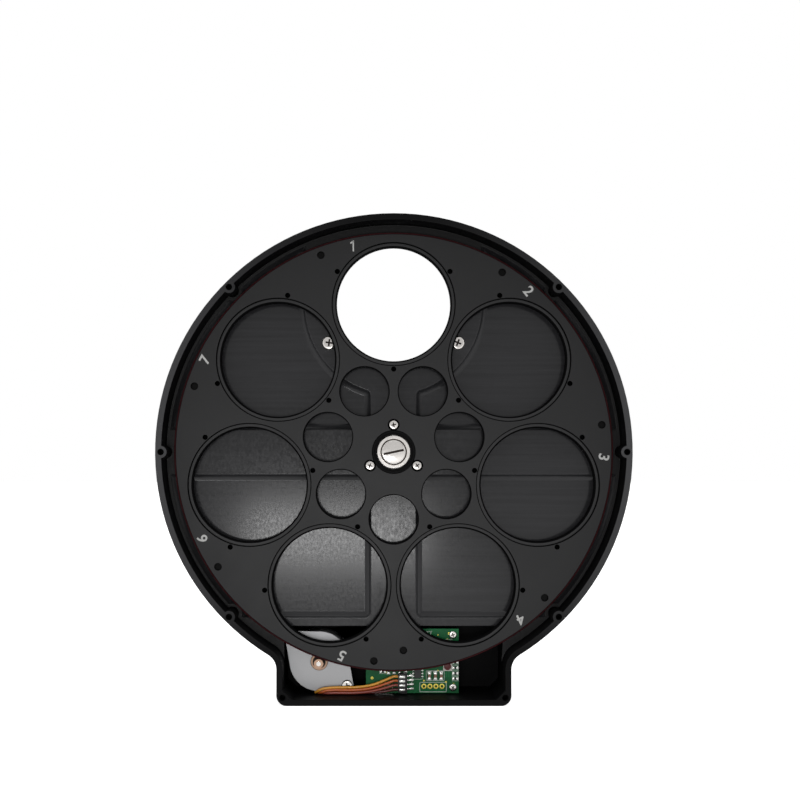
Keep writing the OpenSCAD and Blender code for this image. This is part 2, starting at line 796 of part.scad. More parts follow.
module motor_plug() {
    color([0.95, 0.94, 0.9]) stand()
        translate([plug_x, plug_mid_y - plug_w / 2, plug_z]) cube([plug_len, plug_w, plug_h]);
}

// A place on the board, measured from its lower left corner
module on_board(x, y) {
    translate([x - board_left, board_y + y, board_top]) children();
}

module controller_chip() {
    color([0.08, 0.08, 0.08]) stand() on_board(22.6, 14.9) cube(controller_size);
}

module driver_chip() {
    color([0.08, 0.08, 0.08]) stand() on_board(20.4, 6.5) cube(driver_size);
}

// Two sensors on the board, each below the path of its magnets
module magnet_sensors() {
    place = [-sensor_size.x / 2, -1, board_top];
    color([0.1, 0.1, 0.1]) stand() {
        rotate(magnet_turn * -1 - 4 * step) translate([0, magnet_r, 0] + place)
            cube(sensor_size);
        rotate(-index_turn) translate([0, magnet_r - index_in, 0] + place) cube(sensor_size);
    }
}

module small_parts() {
    color([0.75, 0.7, 0.62]) stand() {
        for (i = [0 : 2]) on_board(26.6 + i * (capacitor_size.x + capacitor_gap), 6.3)
            cube(capacitor_size);
        on_board(33.2, 9.5) cube(inductor_size);
        for (i = [0 : 1]) on_board(36.6, 13.9 - i * (capacitor_size.y + 1.4))
            cube(capacitor_size);
    }
}

module header_pads() {
    color([0.85, 0.68, 0.2]) stand()
        for (i = [0 : header_pins - 1]) translate([header_x + i * header_pitch, header_y, 0])
            ring(0.95, 0.5, board_top, board_top + 0.05);
}

module usb_socket() {
    color([0.8, 0.8, 0.82]) stand() translate([usb_x - usb_w / 2, -box_drop, board_z - usb_h]) {
        difference() {
            cube([usb_w, usb_len, usb_h]);
            translate([usb_wall, -e, usb_wall])
                cube([usb_w - 2 * usb_wall, usb_len - 1 + e, usb_h - 2 * usb_wall]);
        }
        translate([usb_w / 2 - 2.5, 0.8, usb_h / 2 - 0.4]) cube([5, usb_len - 1, 0.8]);
    }
}

// ---- Leads ----

// A point on the smooth curve through p between its points i and i + 1
function curve_at(p, i, t) =
    let (a = p[max(i - 1, 0)], b = p[i], c = p[i + 1], d = p[min(i + 2, len(p) - 1)])
    0.5 * (2 * b + (c - a) * t + (2 * a - 5 * b + 4 * c - d) * t * t
        + (3 * b - a - 3 * c + d) * t * t * t);

function curve(p, n) = concat(
    [for (i = [0 : len(p) - 2], j = [0 : n - 1]) curve_at(p, i, j / n)], [p[len(p) - 1]]);

function unit(v) = v / norm(v);

// One ring of points round a curve at its point i
function ring_at(c, i, r, sides) =
    let (last = len(c) - 1, along = i == 0 ? [0, 0, 1] : i == last ? [1, 0, 0]
            : unit(c[i + 1] - c[i - 1]),
        u = unit(cross([0, 1, 0], along)), v = cross(along, u))
    [for (s = [0 : sides - 1]) c[i] + r * (cos(360 * s / sides) * u + sin(360 * s / sides) * v)];

module tube(route, r, sides = 8, n = 4) {
    c = curve(route, n);
    rings = len(c);
    points = [for (i = [0 : rings - 1]) each ring_at(c, i, r, sides)];
    skin = [for (i = [0 : rings - 2], s = [0 : sides - 1]) let (q = (s + 1) % sides)
        [i * sides + s, i * sides + q, (i + 1) * sides + q, (i + 1) * sides + s]];
    polyhedron(points, concat(skin, [[for (s = [sides - 1 : -1 : 0]) s],
        [for (s = [0 : sides - 1]) (rings - 1) * sides + s]]));
}

module lead_yellow() { color([0.9, 0.62, 0.15]) stand() tube(yellow_route, lead_r); }
module lead_orange() { color([0.85, 0.35, 0.1]) stand() tube(orange_route, lead_r); }
module lead_red() { color([0.6, 0.2, 0.14]) stand() tube(red_route, lead_r); }
module lead_maroon() { color([0.35, 0.08, 0.08]) stand() tube(maroon_route, lead_r); }

housing();
aperture_ring();
aperture_screws();
carousel();
traction_band();
position_magnets();
index_magnet();
hub_flange();
hub_screws();
pivot_post();
pivot_shim();
pivot_cap();
pivot_screw();
bearing_inner_race();
bearing_outer_race();
bearing_cage();
bearing_balls();
motor_can();
motor_plate();
motor_coils();
motor_bushings();
motor_screws();
motor_lead_exit();
motor_shaft();
motor_rotor();
capstan();
circuit_board();
board_screws();
motor_socket();
motor_plug();
controller_chip();
driver_chip();
magnet_sensors();
small_parts();
header_pads();
usb_socket();
lead_yellow();
lead_orange();
lead_red();
lead_maroon();
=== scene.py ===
"""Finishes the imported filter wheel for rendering: rounded and threaded metal, numerals,
screws, motor, wiring and circuit board, on a white stage."""
import math

import bmesh
import bpy
from bpy.props import FloatProperty, FloatVectorProperty, IntProperty, PointerProperty
from mathutils import Matrix, Vector


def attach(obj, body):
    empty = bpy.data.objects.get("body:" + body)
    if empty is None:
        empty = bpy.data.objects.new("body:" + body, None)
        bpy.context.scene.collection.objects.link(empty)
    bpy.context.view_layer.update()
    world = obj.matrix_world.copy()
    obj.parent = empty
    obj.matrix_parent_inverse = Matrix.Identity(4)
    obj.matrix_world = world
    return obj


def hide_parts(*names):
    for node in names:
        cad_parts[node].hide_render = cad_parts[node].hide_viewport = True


bl_info = {
    "name": "Filter wheel finish",
    "version": (1, 0, 0),
    "blender": (4, 5, 0),
    "location": "3D View > Sidebar > Filter wheel",
    "description": "Finishes a packed filter wheel with rounded edges, threads, screws, "
                   "numerals, wiring and board detail",
    "category": "Object",
}

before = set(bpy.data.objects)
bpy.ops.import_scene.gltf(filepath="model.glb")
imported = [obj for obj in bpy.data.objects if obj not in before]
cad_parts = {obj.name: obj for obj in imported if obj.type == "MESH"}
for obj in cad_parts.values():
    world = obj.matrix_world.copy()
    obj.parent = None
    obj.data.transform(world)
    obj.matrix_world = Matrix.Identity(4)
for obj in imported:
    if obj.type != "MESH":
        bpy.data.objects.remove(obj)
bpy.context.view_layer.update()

# The drawing frame: millimetres, x right, y up, z out of the open tray, hub at the origin
MM = 0.001
AXIS_UP = 104.8
MID_DEPTH = 0.75
STAND = Matrix(((MM, 0, 0, 0), (0, 0, -MM, MID_DEPTH * MM), (0, MM, 0, AXIS_UP * MM),
                (0, 0, 0, 1)))

# Housing: radii and heights, the cover's screw holes, and the radius of the tray's floor
# that shows, past which it is painted in shade
TRAY_R, TRAY_RIM, FLOOR_Z = 98.5, 17.5, 4.0
FLOOR_R, GAP_SHADE_R = 94.5, 90.3
BOSS_ANGLES, BOSS_AT = (0, 45, 135, 180, 225, 315), 96.2
CORNER_HOLE_SIDE, CORNER_HOLE_UP = 46.0, 3.4
ADAPTER_SCREW_AT = 31.3

# Carousel and hub
POCKETS = 7
STEP = 360 / POCKETS
PITCH_R, FILTER_R, SEAT_R, LEDGE_DOWN = 61.7, 24.1, 25.75, 1.2
CAROUSEL_Z, CAROUSEL_TOP = 6.2, 11.2
CAROUSEL_R, GROOVE_R, HUB_HOLE_R = 90.95, 90.15, 8.95
WINDOW_AT, WINDOW_R = 28.1, 10.15
CLIP_AT, CLIP_R = 27.1, 1.1
MAGNET_AT, MAGNET_R, MAGNET_TURN = 87.5, 1.45, -20.3
INDEX_AT, INDEX_TURN = 82.8, 177.2
HUB_SCREW_AT, HUB_SCREW_ANGLES = 11.35, (90, 210, 330)
HUB_SCREW_SEAT = CAROUSEL_TOP - 1.4
CAP_Z = 10.8

# Motor
MOTOR = Vector((-31.287, -88.354, 0))
PLATE_TOP = 4.4
LUG_AT, LUG_TURN = 15.5, -40.8

# Circuit board, its plug and the leads
BOARD_TOP = 3.5
HEADER_X, HEADER_Y, HEADER_PITCH, HEADER_PINS = 12.9, -99.0, 2.54, 4
PIN_Y = [-97.3 + (1.5 - i) * 1.85 for i in range(4)]
EXIT_Y = -101.55
LEAD_Z, LEAD_R, LEAD_FOOT = 5.5, 0.55, -4.2
PLUG_X = 1.9

# Parts soldered to the board: x, y, width and height
CAPACITORS = [(x, -96.0, 1.25, 2.9) for x in (14.6, 17.1, 19.6)]
RESISTORS = [(25.2, -89.3, 1.9, 1.0), (25.2, -91.7, 1.9, 1.0), (25.2, -94.0, 1.9, 1.0),
             (25.2, -96.3, 1.9, 1.0), (-2.6, -93.4, 1.0, 1.9), (-0.2, -93.4, 1.0, 1.9),
             (2.2, -93.4, 1.0, 1.9), (4.6, -92.6, 1.0, 1.9), (-5.4, -93.2, 1.9, 1.0),
             (8.8, -88.0, 1.0, 1.9), (22.6, -83.4, 1.9, 1.0), (22.6, -80.6, 1.9, 1.0),
             (-6.0, -84.0, 1.9, 1.0), (-6.0, -81.4, 1.9, 1.0)]
# Bare plated rings: x, y and radius
BARE_PADS = [(-6.1, -97.9, 0.9), (-10.2, -98.9, 0.9), (-9.0, -95.5, 0.6),
             (23.5, -76.7, 0.5), (22.9, -79.2, 0.45), (24.6, -80.4, 0.45),
             (7.7, -100.3, 0.35), (12.9, -96.6, 0.35), (22.2, -97.2, 0.4),
             (25.4, -98.0, 0.35)]
LAMP_AT = (22.9, -90.6)


# ---- Settings ----

def length(name, text, default):
    return FloatProperty(name=name, description=text, default=default, min=0,
                         unit="LENGTH", subtype="DISTANCE", precision=5)


def colour(name, text, default):
    return FloatVectorProperty(name=name, description=text, default=default, size=3,
                               min=0, max=1, subtype="COLOR")


def plain(name, text, default):
    return FloatProperty(name=name, description=text, default=default, min=0)


class WheelSizes(bpy.types.PropertyGroup):
    housing_round: length("Housing edge", "Rounding of the housing's edges", 0.00035)
    carousel_round: length("Carousel edge", "Rounding of the carousel's edges", 0.0002)
    small_round: length("Small edge", "Rounding of the small parts' edges", 0.00012)
    filter_pitch: length("Filter thread", "Pitch of the filter threads", 0.00075)
    aperture_pitch: length("Aperture thread", "Pitch of the thread in the adapter",
                           0.00075)
    numeral_height: length("Numeral height", "Height of the pocket numerals", 0.0045)
    numeral_radius: length("Numeral radius", "Distance from the hub to the numerals",
                           0.08765)
    numeral_side: FloatProperty(
        name="Numeral angle", description="Turn from each pocket to its numeral",
        default=math.radians(11.45), subtype="ANGLE")
    thread_sides: IntProperty(
        name="Thread sides", description="Steps in each thread turn",
        default=72, min=24, max=128)


class WheelColours(bpy.types.PropertyGroup):
    casting: colour("Housing", "Black anodised housing", (0.0022, 0.0022, 0.0024))
    # The rim colour is the black anodise with a painted highlight, laid on the rim's
    # sides
    rim: colour("Rim", "Turned front rim of the housing", (0.05, 0.05, 0.052))
    tray_floor: colour("Tray floor", "Milled floor of the tray", (0.02, 0.02, 0.0215))
    carousel: colour("Carousel", "Black anodised carousel", (0.006, 0.006, 0.0064))
    band: colour("Band", "Traction band in the carousel's rim", (0.034, 0.0035, 0.005))
    steel: colour("Steel", "Ground and plated steel", (0.5, 0.48, 0.46))
    plate: colour("Motor plate", "Zinc-plated motor flange", (0.28, 0.28, 0.285))
    bronze: colour("Bronze", "Sintered bronze bushings", (0.3, 0.19, 0.13))
    copper: colour("Copper", "Enamelled windings", (0.45, 0.16, 0.06))
    mask: colour("Solder mask", "Green of the circuit board", (0.004, 0.1, 0.03))
    nylon: colour("Nylon", "White connector bodies", (0.6, 0.58, 0.53))
    numeral: colour("Numerals", "Printed numerals", (0.42, 0.42, 0.41))


class StageSettings(bpy.types.PropertyGroup):
    front_power: plain("Front lamp", "Power of the soft lamp in front, in watts", 0.48)
    side_power: plain("Side lamps", "Power of each soft side lamp, in watts", 2.4)
    top_power: plain("Top lamp", "Power of the soft lamp above, in watts", 4.0)
    ambient: plain("Ambient", "Strength of the even light from all round", 0.75)
    lens: plain("Lens", "Focal length in millimetres", 60.06)


def sizes():
    return bpy.context.scene.wheel_sizes


def colours():
    return bpy.context.scene.wheel_colours


# ---- Finishes ----

def new_material(name, constants):
    """A material with its tree and its shader, whose constant sockets are set."""
    material = bpy.data.materials.new(name)
    material.use_nodes = True
    tree = material.node_tree
    shader = tree.nodes["Principled BSDF"]
    for socket, value in constants.items():
        shader.inputs[socket].default_value = value
    return material, tree, shader


def node(tree, kind, **values):
    made = tree.nodes.new(kind)
    for key, value in values.items():
        if key in made.inputs:
            made.inputs[key].default_value = value
        else:
            setattr(made, key, value)
    return made


def feed(tree, socket, value):
    """Links another node's output to a socket, or sets the socket to a number."""
    if isinstance(value, bpy.types.NodeSocket):
        tree.links.new(value, socket)
    else:
        socket.default_value = value


def calculate(tree, operation, *values, **options):
    """The result of a sum on numbers and other nodes' outputs."""
    made = node(tree, "ShaderNodeMath", operation=operation, **options)
    for socket, value in zip(made.inputs, values):
        feed(tree, socket, value)
    return made.outputs["Value"]


def object_spot(tree):
    return node(tree, "ShaderNodeTexCoord").outputs["Object"]


def placed(tree, scale, move=(0, 0, 0)):
    """Object coordinates, scaled and then moved."""
    mapping = node(tree, "ShaderNodeMapping", Location=move, Scale=scale)
    feed(tree, mapping.inputs["Vector"], object_spot(tree))
    return mapping.outputs["Vector"]


def object_grain(tree, size, stretch=(1, 1, 1), detail=3.0):
    """Noise with grains of the given size in metres, stretched along the axes."""
    noise = node(tree, "ShaderNodeTexNoise", Scale=1.0, Detail=detail, Roughness=0.6)
    feed(tree, noise.inputs["Vector"], placed(tree, [s / size for s in stretch]))
    return noise.outputs["Fac"]


def radius_from(tree, centre_mm, pitch):
    """Distance from an axis through a point of the drawing, counted in turns of pitch."""
    centre = STAND @ Vector(centre_mm)
    span = node(tree, "ShaderNodeVectorMath", operation="LENGTH")
    feed(tree, span.inputs[0], placed(tree, (1 / pitch, 0, 1 / pitch),
                                      (-centre.x / pitch, 0, -centre.z / pitch)))
    return span.outputs["Value"]


def spread(tree, source, low, high, start=0.3, stop=0.7):
    """Source, from start to stop, as numbers from low to high."""
    ranged = node(tree, "ShaderNodeMapRange", **{
        "From Min": start, "From Max": stop, "To Min": low, "To Max": high})
    feed(tree, ranged.inputs["Value"], source)
    return ranged.outputs["Result"]


def blend_colours(tree, factor, dark, light):
    """A colour from dark, which may be a node's output, to light."""
    mix = node(tree, "ShaderNodeMix", data_type="RGBA")
    for socket, value in ((mix.inputs[6], dark), (mix.inputs[7], light)):
        feed(tree, socket,
             value if isinstance(value, bpy.types.NodeSocket) else (*value, 1))
    feed(tree, mix.inputs["Factor"], factor)
    return mix.outputs[2]


def shade(rgb, by):
    return [min(c * by, 1) for c in rgb]


def shades(tree, factor, rgb, dark, light):
    """The same colour from a darker to a lighter shade of it."""
    return blend_colours(tree, factor, shade(rgb, dark), shade(rgb, light))


def add_bump(tree, shader, source, depth, below=None):
    bump = node(tree, "ShaderNodeBump", Strength=1.0, Distance=depth)
    feed(tree, bump.inputs["Height"], source)
    if below is not None:
        feed(tree, bump.inputs["Normal"], below.outputs["Normal"])
    feed(tree, shader.inputs["Normal"], bump.outputs["Normal"])
    return bump


def finish(name, rgb, rough, metal=0.0, specular=0.5, grain=0.0004, mottle=0.12,
           swing=0.06, depth=0.000004, coat=0.0, marks=None):
    """A finish whose colour, gloss and surface vary with a fine grain and a broad
    cloud. marks = (centre, pitch, depth) adds turning marks round that centre."""
    material, tree, shader = new_material(name, {
        "Metallic": metal, "Specular IOR Level": specular, "Coat Weight": coat,
        "Coat Roughness": 0.12})
    fine_share, cloud_share, cloud_size = 0.65, 0.35, 0.022
    fine = object_grain(tree, grain)
    cloud = spread(tree, object_grain(tree, cloud_size, detail=2.0), 0.0, cloud_share)
    both = calculate(tree, "MULTIPLY_ADD", fine, fine_share, cloud)
    feed(tree, shader.inputs["Base Color"],
         shades(tree, spread(tree, both, 0.0, 1.0, 0.25, 0.75), rgb, 1 - mottle,
                1 + mottle))
    feed(tree, shader.inputs["Roughness"],
         spread(tree, both, rough - swing, rough + swing))
    bump = add_bump(tree, shader, fine, depth)
    if marks:
        centre, pitch, mark_depth = marks
        rings = node(tree, "ShaderNodeTexNoise", noise_dimensions="1D", Scale=1.0,
                     Detail=2.0)
        feed(tree, rings.inputs["W"], radius_from(tree, centre, pitch))
        add_bump(tree, shader, rings.outputs["Fac"], mark_depth, bump)
    return material


def milled_finish():
    """The tray's floor, milled in level passes under the carousel, with painted shade
    beyond it in the gap round the carousel.
    """
    tone = colours()
    material, tree, shader = new_material("milled_floor", {"Specular IOR Level": 0.2})
    passes = object_grain(tree, 0.0018, (0.03, 1, 1), detail=4.0)
    speckle = object_grain(tree, 0.0009, (1, 1, 0.6), detail=1.5)
    edge = GAP_SHADE_R * MM
    # Past the carousel's edge, in the gap, the floor's colour is painted shade
    gap_shade = spread(tree, radius_from(tree, (0, 0, 0), 1.0), 0, 1, edge, edge + 0.0008)
    floor = shades(tree, spread(tree, passes, 0, 1), tone.tray_floor, 0.8, 1.2)
    feed(tree, shader.inputs["Base Color"],
         blend_colours(tree, gap_shade, floor, shade(tone.tray_floor, 0.15)))
    feed(tree, shader.inputs["Roughness"],
         calculate(tree, "MULTIPLY_ADD", gap_shade, 0.3, spread(tree, speckle, 0.1, 0.2)))
    add_bump(tree, shader, passes, 0.000002)
    return material


def rim_painted_sheen_finish():
    """The housing's turned front rim, with a painted highlight of the side lamps at its
    sides, black towards its box.
    """
    tone = colours()
    material, tree, shader = new_material("turned_rim_painted_sheen", {
        "Specular IOR Level": 0.05, "Roughness": 0.45})
    parts = node(tree, "ShaderNodeSeparateXYZ")
    feed(tree, parts.inputs["Vector"], object_spot(tree))
    across = radius_from(tree, (0, 0, 0), 1.0)
    # Painted highlight: the rim grows pale towards its sides, where the side lamps would
    # reflect off the turning
    side = calculate(tree, "DIVIDE", parts.outputs["X"], across)
    painted_side_sheen = calculate(tree, "MULTIPLY", side, side)
    on_ring = calculate(tree, "LESS_THAN", across, (TRAY_R + 0.2) * MM)
    above_box = spread(tree, parts.outputs["Z"], 0, 1, 0.02, 0.045)
    for limit in (on_ring, above_box):
        painted_side_sheen = calculate(tree, "MULTIPLY", painted_side_sheen, limit)
    feed(tree, shader.inputs["Base Color"],
         blend_colours(tree, painted_side_sheen, tone.casting, tone.rim))
    return material


def winding_finish():
    """Enamelled wire, wound round the motor's axis."""
    tone = colours()
    material, tree, shader = new_material("enamelled_wire", {"Metallic": 0.6})
    wave = node(tree, "ShaderNodeTexWave", wave_type="BANDS", bands_direction="Y",
                Scale=1.0, Distortion=0.6)
    feed(tree, wave.inputs["Vector"], placed(tree, (900, 900, 900)))
    turns = wave.outputs["Fac"]
    feed(tree, shader.inputs["Base Color"], shades(tree, turns, tone.copper, 0.5, 1))
    feed(tree, shader.inputs["Roughness"], spread(tree, turns, 0.5, 0.3, 0, 1))
    add_bump(tree, shader, turns, 0.0001)
    return material


def mask_finish():
    """Green solder mask over copper, with the weave of the laminate just showing."""
    tone = colours()
    material, tree, shader = new_material("green_solder_mask", {
        "Specular IOR Level": 0.14})
    cloud = object_grain(tree, 0.006, detail=2.0)
    weave = object_grain(tree, 0.0004, (1, 1, 0.5), detail=1.0)
    feed(tree, shader.inputs["Base Color"],
         shades(tree, spread(tree, cloud, 0, 1), tone.mask, 0.75, 1.3))
    feed(tree, shader.inputs["Roughness"], spread(tree, weave, 0.34, 0.5))
    add_bump(tree, shader, weave, 0.00001)
    return material


def recipes():
    tone = colours()
    lead = dict(grain=0.0009, mottle=0.14, swing=0.05, depth=0.00001, coat=0.25)
    return {
        "housing": ("black_anodised_metal", tone.casting, 0.48, dict(
            specular=0.045, mottle=0.16, swing=0.05, depth=0.000006)),
        "bank": ("ball_milled_bank", tone.tray_floor, 0.34, dict(
            specular=0.2, grain=0.0006, mottle=0.1)),
        "ring": ("black_turned_metal", shade(tone.casting, 1.4), 0.42, dict(
            specular=0.4, marks=((0, PITCH_R, 0), 0.00018, 0.000006))),
        "carousel": ("carousel_anodised", tone.carousel, 0.42, dict(
            specular=0.22, grain=0.0005, mottle=0.1, swing=0.04, depth=0.000006)),
        # The carousel's cut faces and filter threads: its own anodise darkened as painted
        # shade
        "shaded_walls": ("carousel_walls_painted_shade", shade(tone.casting, 0.5), 0.6, dict(
            specular=0.03, mottle=0.1)),
        "ledge": ("turned_ledge", shade(tone.carousel, 1.6), 0.45, dict(
            specular=0.26, mottle=0.1)),
        # Sunk faces, slots and grooves: a dark brown that is painted shade
        "recess": ("recess_painted_shade", (0.03, 0.022, 0.018), 0.5, dict(
            specular=0.15, mottle=0.2)),
        # The hub flange's black anodise, also put on the steel outer race as painted
        # shade
        "flange": ("black_hub_metal_and_painted_race_shade", shade(tone.casting, 0.6), 0.45, dict(
            specular=0.05, marks=((0, 0, 0), 0.0002, 0.00001))),
        "band": ("traction_rubber", tone.band, 0.6, dict(
            specular=0.1, grain=0.0006, mottle=0.2, depth=0.00002)),
        "steel": ("ground_steel", tone.steel, 0.11, dict(
            metal=1.0, grain=0.0005, mottle=0.08, swing=0.02, depth=0.000001,
            marks=((0, 0, 0), 0.00012, 0.000001))),
        "bright": ("plated_screw", tone.steel, 0.11, dict(
            metal=1.0, grain=0.0007, mottle=0.06, swing=0.02, depth=0.000001)),
        "magnet": ("magnet_coating", shade(tone.steel, 0.003), 0.45, dict(
            specular=0.05, grain=0.0006, mottle=0.25)),
        "plate": ("zinc_plate", tone.plate, 0.42, dict(
            metal=0.55, grain=0.0006, mottle=0.06, swing=0.05)),
        "bronze": ("sintered_bronze", tone.bronze, 0.42, dict(
            metal=0.6, grain=0.0002, mottle=0.25, depth=0.00001,
            marks=(MOTOR, 0.00035, 0.00002))),
        "ferrite": ("rotor_ferrite", (0.05, 0.05, 0.055), 0.55, dict(
            grain=0.0003, mottle=0.3)),
        "track": ("covered_track", shade(tone.mask, 1.6), 0.36, dict(
            specular=0.16, grain=0.0005, mottle=0.1)),
        "print": ("white_print", (0.4, 0.47, 0.41), 0.6, dict(grain=0.0003)),
        "solder": ("solder", (0.44, 0.44, 0.42), 0.2, dict(metal=0.9, depth=0.00002)),
        "gold": ("gold_plate", (0.44, 0.36, 0.07), 0.2, dict(
            metal=1.0, depth=0.000006)),
        "nylon": ("white_nylon", tone.nylon, 0.5, dict(
            specular=0.4, grain=0.0006, mottle=0.05, depth=0.00001)),
        "chip": ("moulded_epoxy", (0.012, 0.012, 0.013), 0.55, dict(
            specular=0.4, grain=0.0001, mottle=0.3, depth=0.00001)),
        "ceramic": ("capacitor_ceramic", (0.2, 0.085, 0.045), 0.45, dict(mottle=0.2)),
        "lamp": ("dark_red_glass", (0.09, 0.008, 0.008), 0.3, dict(
            specular=0.2, grain=0.0005, mottle=0.2)),
        "numeral": ("numeral_ink", tone.numeral, 0.55, dict(
            specular=0.3, grain=0.0003, mottle=0.08)),
        "yellow": ("yellow_insulation", (0.72, 0.33, 0.035), 0.34, lead),
        "orange": ("orange_insulation", (0.5, 0.1, 0.016), 0.34, lead),
        "red": ("red_insulation", (0.26, 0.045, 0.028), 0.34, lead),
        "maroon": ("maroon_insulation", (0.085, 0.01, 0.01), 0.34, lead),
    }


SPECIAL = {"milled": milled_finish, "rim": rim_painted_sheen_finish, "wire": winding_finish,
           "mask": mask_finish}
FINISHES = {}


def finish_of(look):
    """Makes each finish the first time that a piece asks for it."""
    if look not in FINISHES:
        if look in SPECIAL:
            FINISHES[look] = SPECIAL[look]()
        else:
            name, rgb, rough, rest = recipes()[look]
            FINISHES[look] = finish(name, rgb, rough, **rest)
    return FINISHES[look]


# ---- Making pieces ----

# Points nearer than this, in millimetres, are one point
MERGE = 0.0005


def link_object(name, data):
    holder = bpy.data.objects.new(name, data)
    bpy.context.scene.collection.objects.link(holder)
    return holder


def as_mesh(bm, name):
    mesh = bpy.data.meshes.new(name)
    bm.to_mesh(mesh)
    bm.free()
    return mesh


def link_piece(bm, name, body, looks):
    """A piece that rides on a body. A face's material index counts through looks."""
    mesh = as_mesh(bm, name)
    for look in looks:
        mesh.materials.append(finish_of(look))
    piece = link_object(name, mesh)
    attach(piece, body)
    return piece


def smooth_by_angle(bm, degrees):
    limit = math.radians(degrees)
    for face in bm.faces:
        face.smooth = True
    for edge in bm.edges:
        edge.smooth = len(edge.link_faces) == 2 and edge.calc_face_angle(0) < limit


def keep_flat(bm):
    """Stops the large level faces from being shaded into the slopes beside them."""
    level, large, slight = 0.999, 0.00002, math.radians(0.5)
    bm.normal_update()
    for face in bm.faces:
        if abs(face.normal.y) > level and face.calc_area() > large:
            for edge in face.edges:
                if edge.calc_face_angle(0) > slight:
                    edge.smooth = False


def set_down(bm, name, body, slot, *looks, degrees=32):
    """Turns a shape drawn in millimetres into a piece that rides on a body."""
    bmesh.ops.remove_doubles(bm, verts=bm.verts, dist=MERGE)
    bmesh.ops.transform(bm, matrix=STAND, verts=bm.verts)
    bmesh.ops.recalc_face_normals(bm, faces=bm.faces)
    smooth_by_angle(bm, degrees)
    return link_piece(bm, name, body, looks)


def stamp(target, source, matrix):
    """Adds a copy of source to target, moved by matrix."""
    mesh = bpy.data.meshes.new("stamp")
    source.to_mesh(mesh)
    before = len(target.verts)
    target.from_mesh(mesh)
    target.verts.ensure_lookup_table()
    bmesh.ops.transform(target, matrix=matrix, verts=target.verts[before:])
    bpy.data.meshes.remove(mesh)


def add(target, source, *places):
    """Adds source to target, as it lies or once for each place, and frees it."""
    for place in places or (Matrix.Identity(4),):
        stamp(target, source, place)
    source.free()
    return target


def spun(angle):
    return Matrix.Rotation(math.radians(angle), 4, "Z")


def at(x, y, z=0.0, turn=0.0):
    return Matrix.Translation((x, y, z)) @ spun(turn)


def around(angle, r, z=0.0, turn=0.0):
    """A place at a radius from the hub, at an angle clockwise from the top."""
    return spun(-angle) @ at(0, r, z, turn)


def rounded_copy(cad, name, body, slot, look, width, limit=40):
    """A merged copy of a CAD node with its edges rounded, which stands for the node."""
    bm = bmesh.new()
    bm.from_mesh(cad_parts[cad].data)
    bmesh.ops.remove_doubles(bm, verts=bm.verts, dist=0.000002)
    bmesh.ops.dissolve_limit(bm, angle_limit=math.radians(0.4), verts=bm.verts,
                             edges=bm.edges)
    smooth_by_angle(bm, limit)
    keep_flat(bm)
    piece = link_piece(bm, name, body, (look,))
    if width:
        bevel = piece.modifiers.new("edges", "BEVEL")
        bevel.width = width
        bevel.segments = 2
        bevel.limit_method = "ANGLE"
        bevel.angle_limit = math.radians(limit)
        bevel.use_clamp_overlap = False
        bevel.harden_normals = True
    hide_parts(cad)
    return piece


# CAD nodes that get rounded edges and a finish, by step: node, piece, body, slot, look,
# and how many times the small parts' rounding
COPIES = {
    "carousel": (
        ("traction_band", "rim_band", "wheel", "band_red", "band", 3),
        ("position_magnets", "pocket_magnets", "wheel", "magnet", "magnet", 1),
        ("index_magnet", "home_magnet", "wheel", "magnet", "magnet", 1)),
    "hub": (
        ("hub_flange", "hub_carrier", "wheel", "black_anodised", "flange", 1),
        ("pivot_post", "hub_post", "base", "steel", "steel", 0.7),
        ("pivot_shim", "hub_shim", "base", "steel", "steel", 0.7),
        ("bearing_inner_race", "inner_race", "base", "steel", "steel", 0.7),
        # The outer race is steel; the hub's black finish on it is painted shade
        ("bearing_outer_race", "outer_race", "wheel", "steel", "flange", 0.7),
        ("bearing_cage", "ball_cage", "ball_set", "bronze", "bronze", 0.7)),
    "motor": (
        ("motor_can", "motor_case", "base", "plated_steel", "plate", 3),
        ("motor_plate", "motor_flange", "base", "plated_steel", "plate", 1),
        ("motor_coils", "motor_windings", "base", "copper", "wire", 3),
        ("motor_lead_exit", "lead_grommet", "base", "nylon", "nylon", 2),
        ("motor_shaft", "drive_shaft", "drive", "bright_steel", "bright", 1),
        ("motor_rotor", "rotor", "drive", "ferrite", "ferrite", 2)),
    "board": (
        ("circuit_board", "board_laminate", "base", "board_green", "mask", 0.7),
        ("usb_socket", "usb_shell", "base", "bright_steel", "bright", 1),
        ("controller_chip", "controller_body", "base", "chip_black", "chip", 1),
        ("driver_chip", "driver_body", "base", "chip_black", "chip", 1),
        ("magnet_sensors", "sensor_bodies", "base", "chip_black", "chip", 1)),
}


def rounded_copies(step):
    for *row, times in COPIES[step]:
        rounded_copy(*row, sizes().small_round * times)


def shape_of(holder):
    """The finished shape of a helper object, which is then thrown away."""
    view = bpy.context.evaluated_depsgraph_get()
    mesh = bpy.data.meshes.new_from_object(holder.evaluated_get(view))
    bpy.data.objects.remove(holder)
    bm = bmesh.new()
    bm.from_mesh(mesh)
    bpy.data.meshes.remove(mesh)
    return bm


def cut_away(bm, cutters):
    """The shape bm with the closed shapes in cutters taken out of it."""
    whole = link_object("stock", as_mesh(bm, "stock"))
    tool = link_object("cutters", as_mesh(cutters, "cutters"))
    step = whole.modifiers.new("cut", "BOOLEAN")
    step.operation = "DIFFERENCE"
    step.solver = "EXACT"
    step.object = tool
    bm = shape_of(whole)
    bpy.data.objects.remove(tool)
    return bm


def outwards(bm):
    """Merges doubles, and points the faces of a closed shape outwards."""
    bmesh.ops.remove_doubles(bm, verts=bm.verts, dist=MERGE)
    bmesh.ops.recalc_face_normals(bm, faces=bm.faces)
    return bm


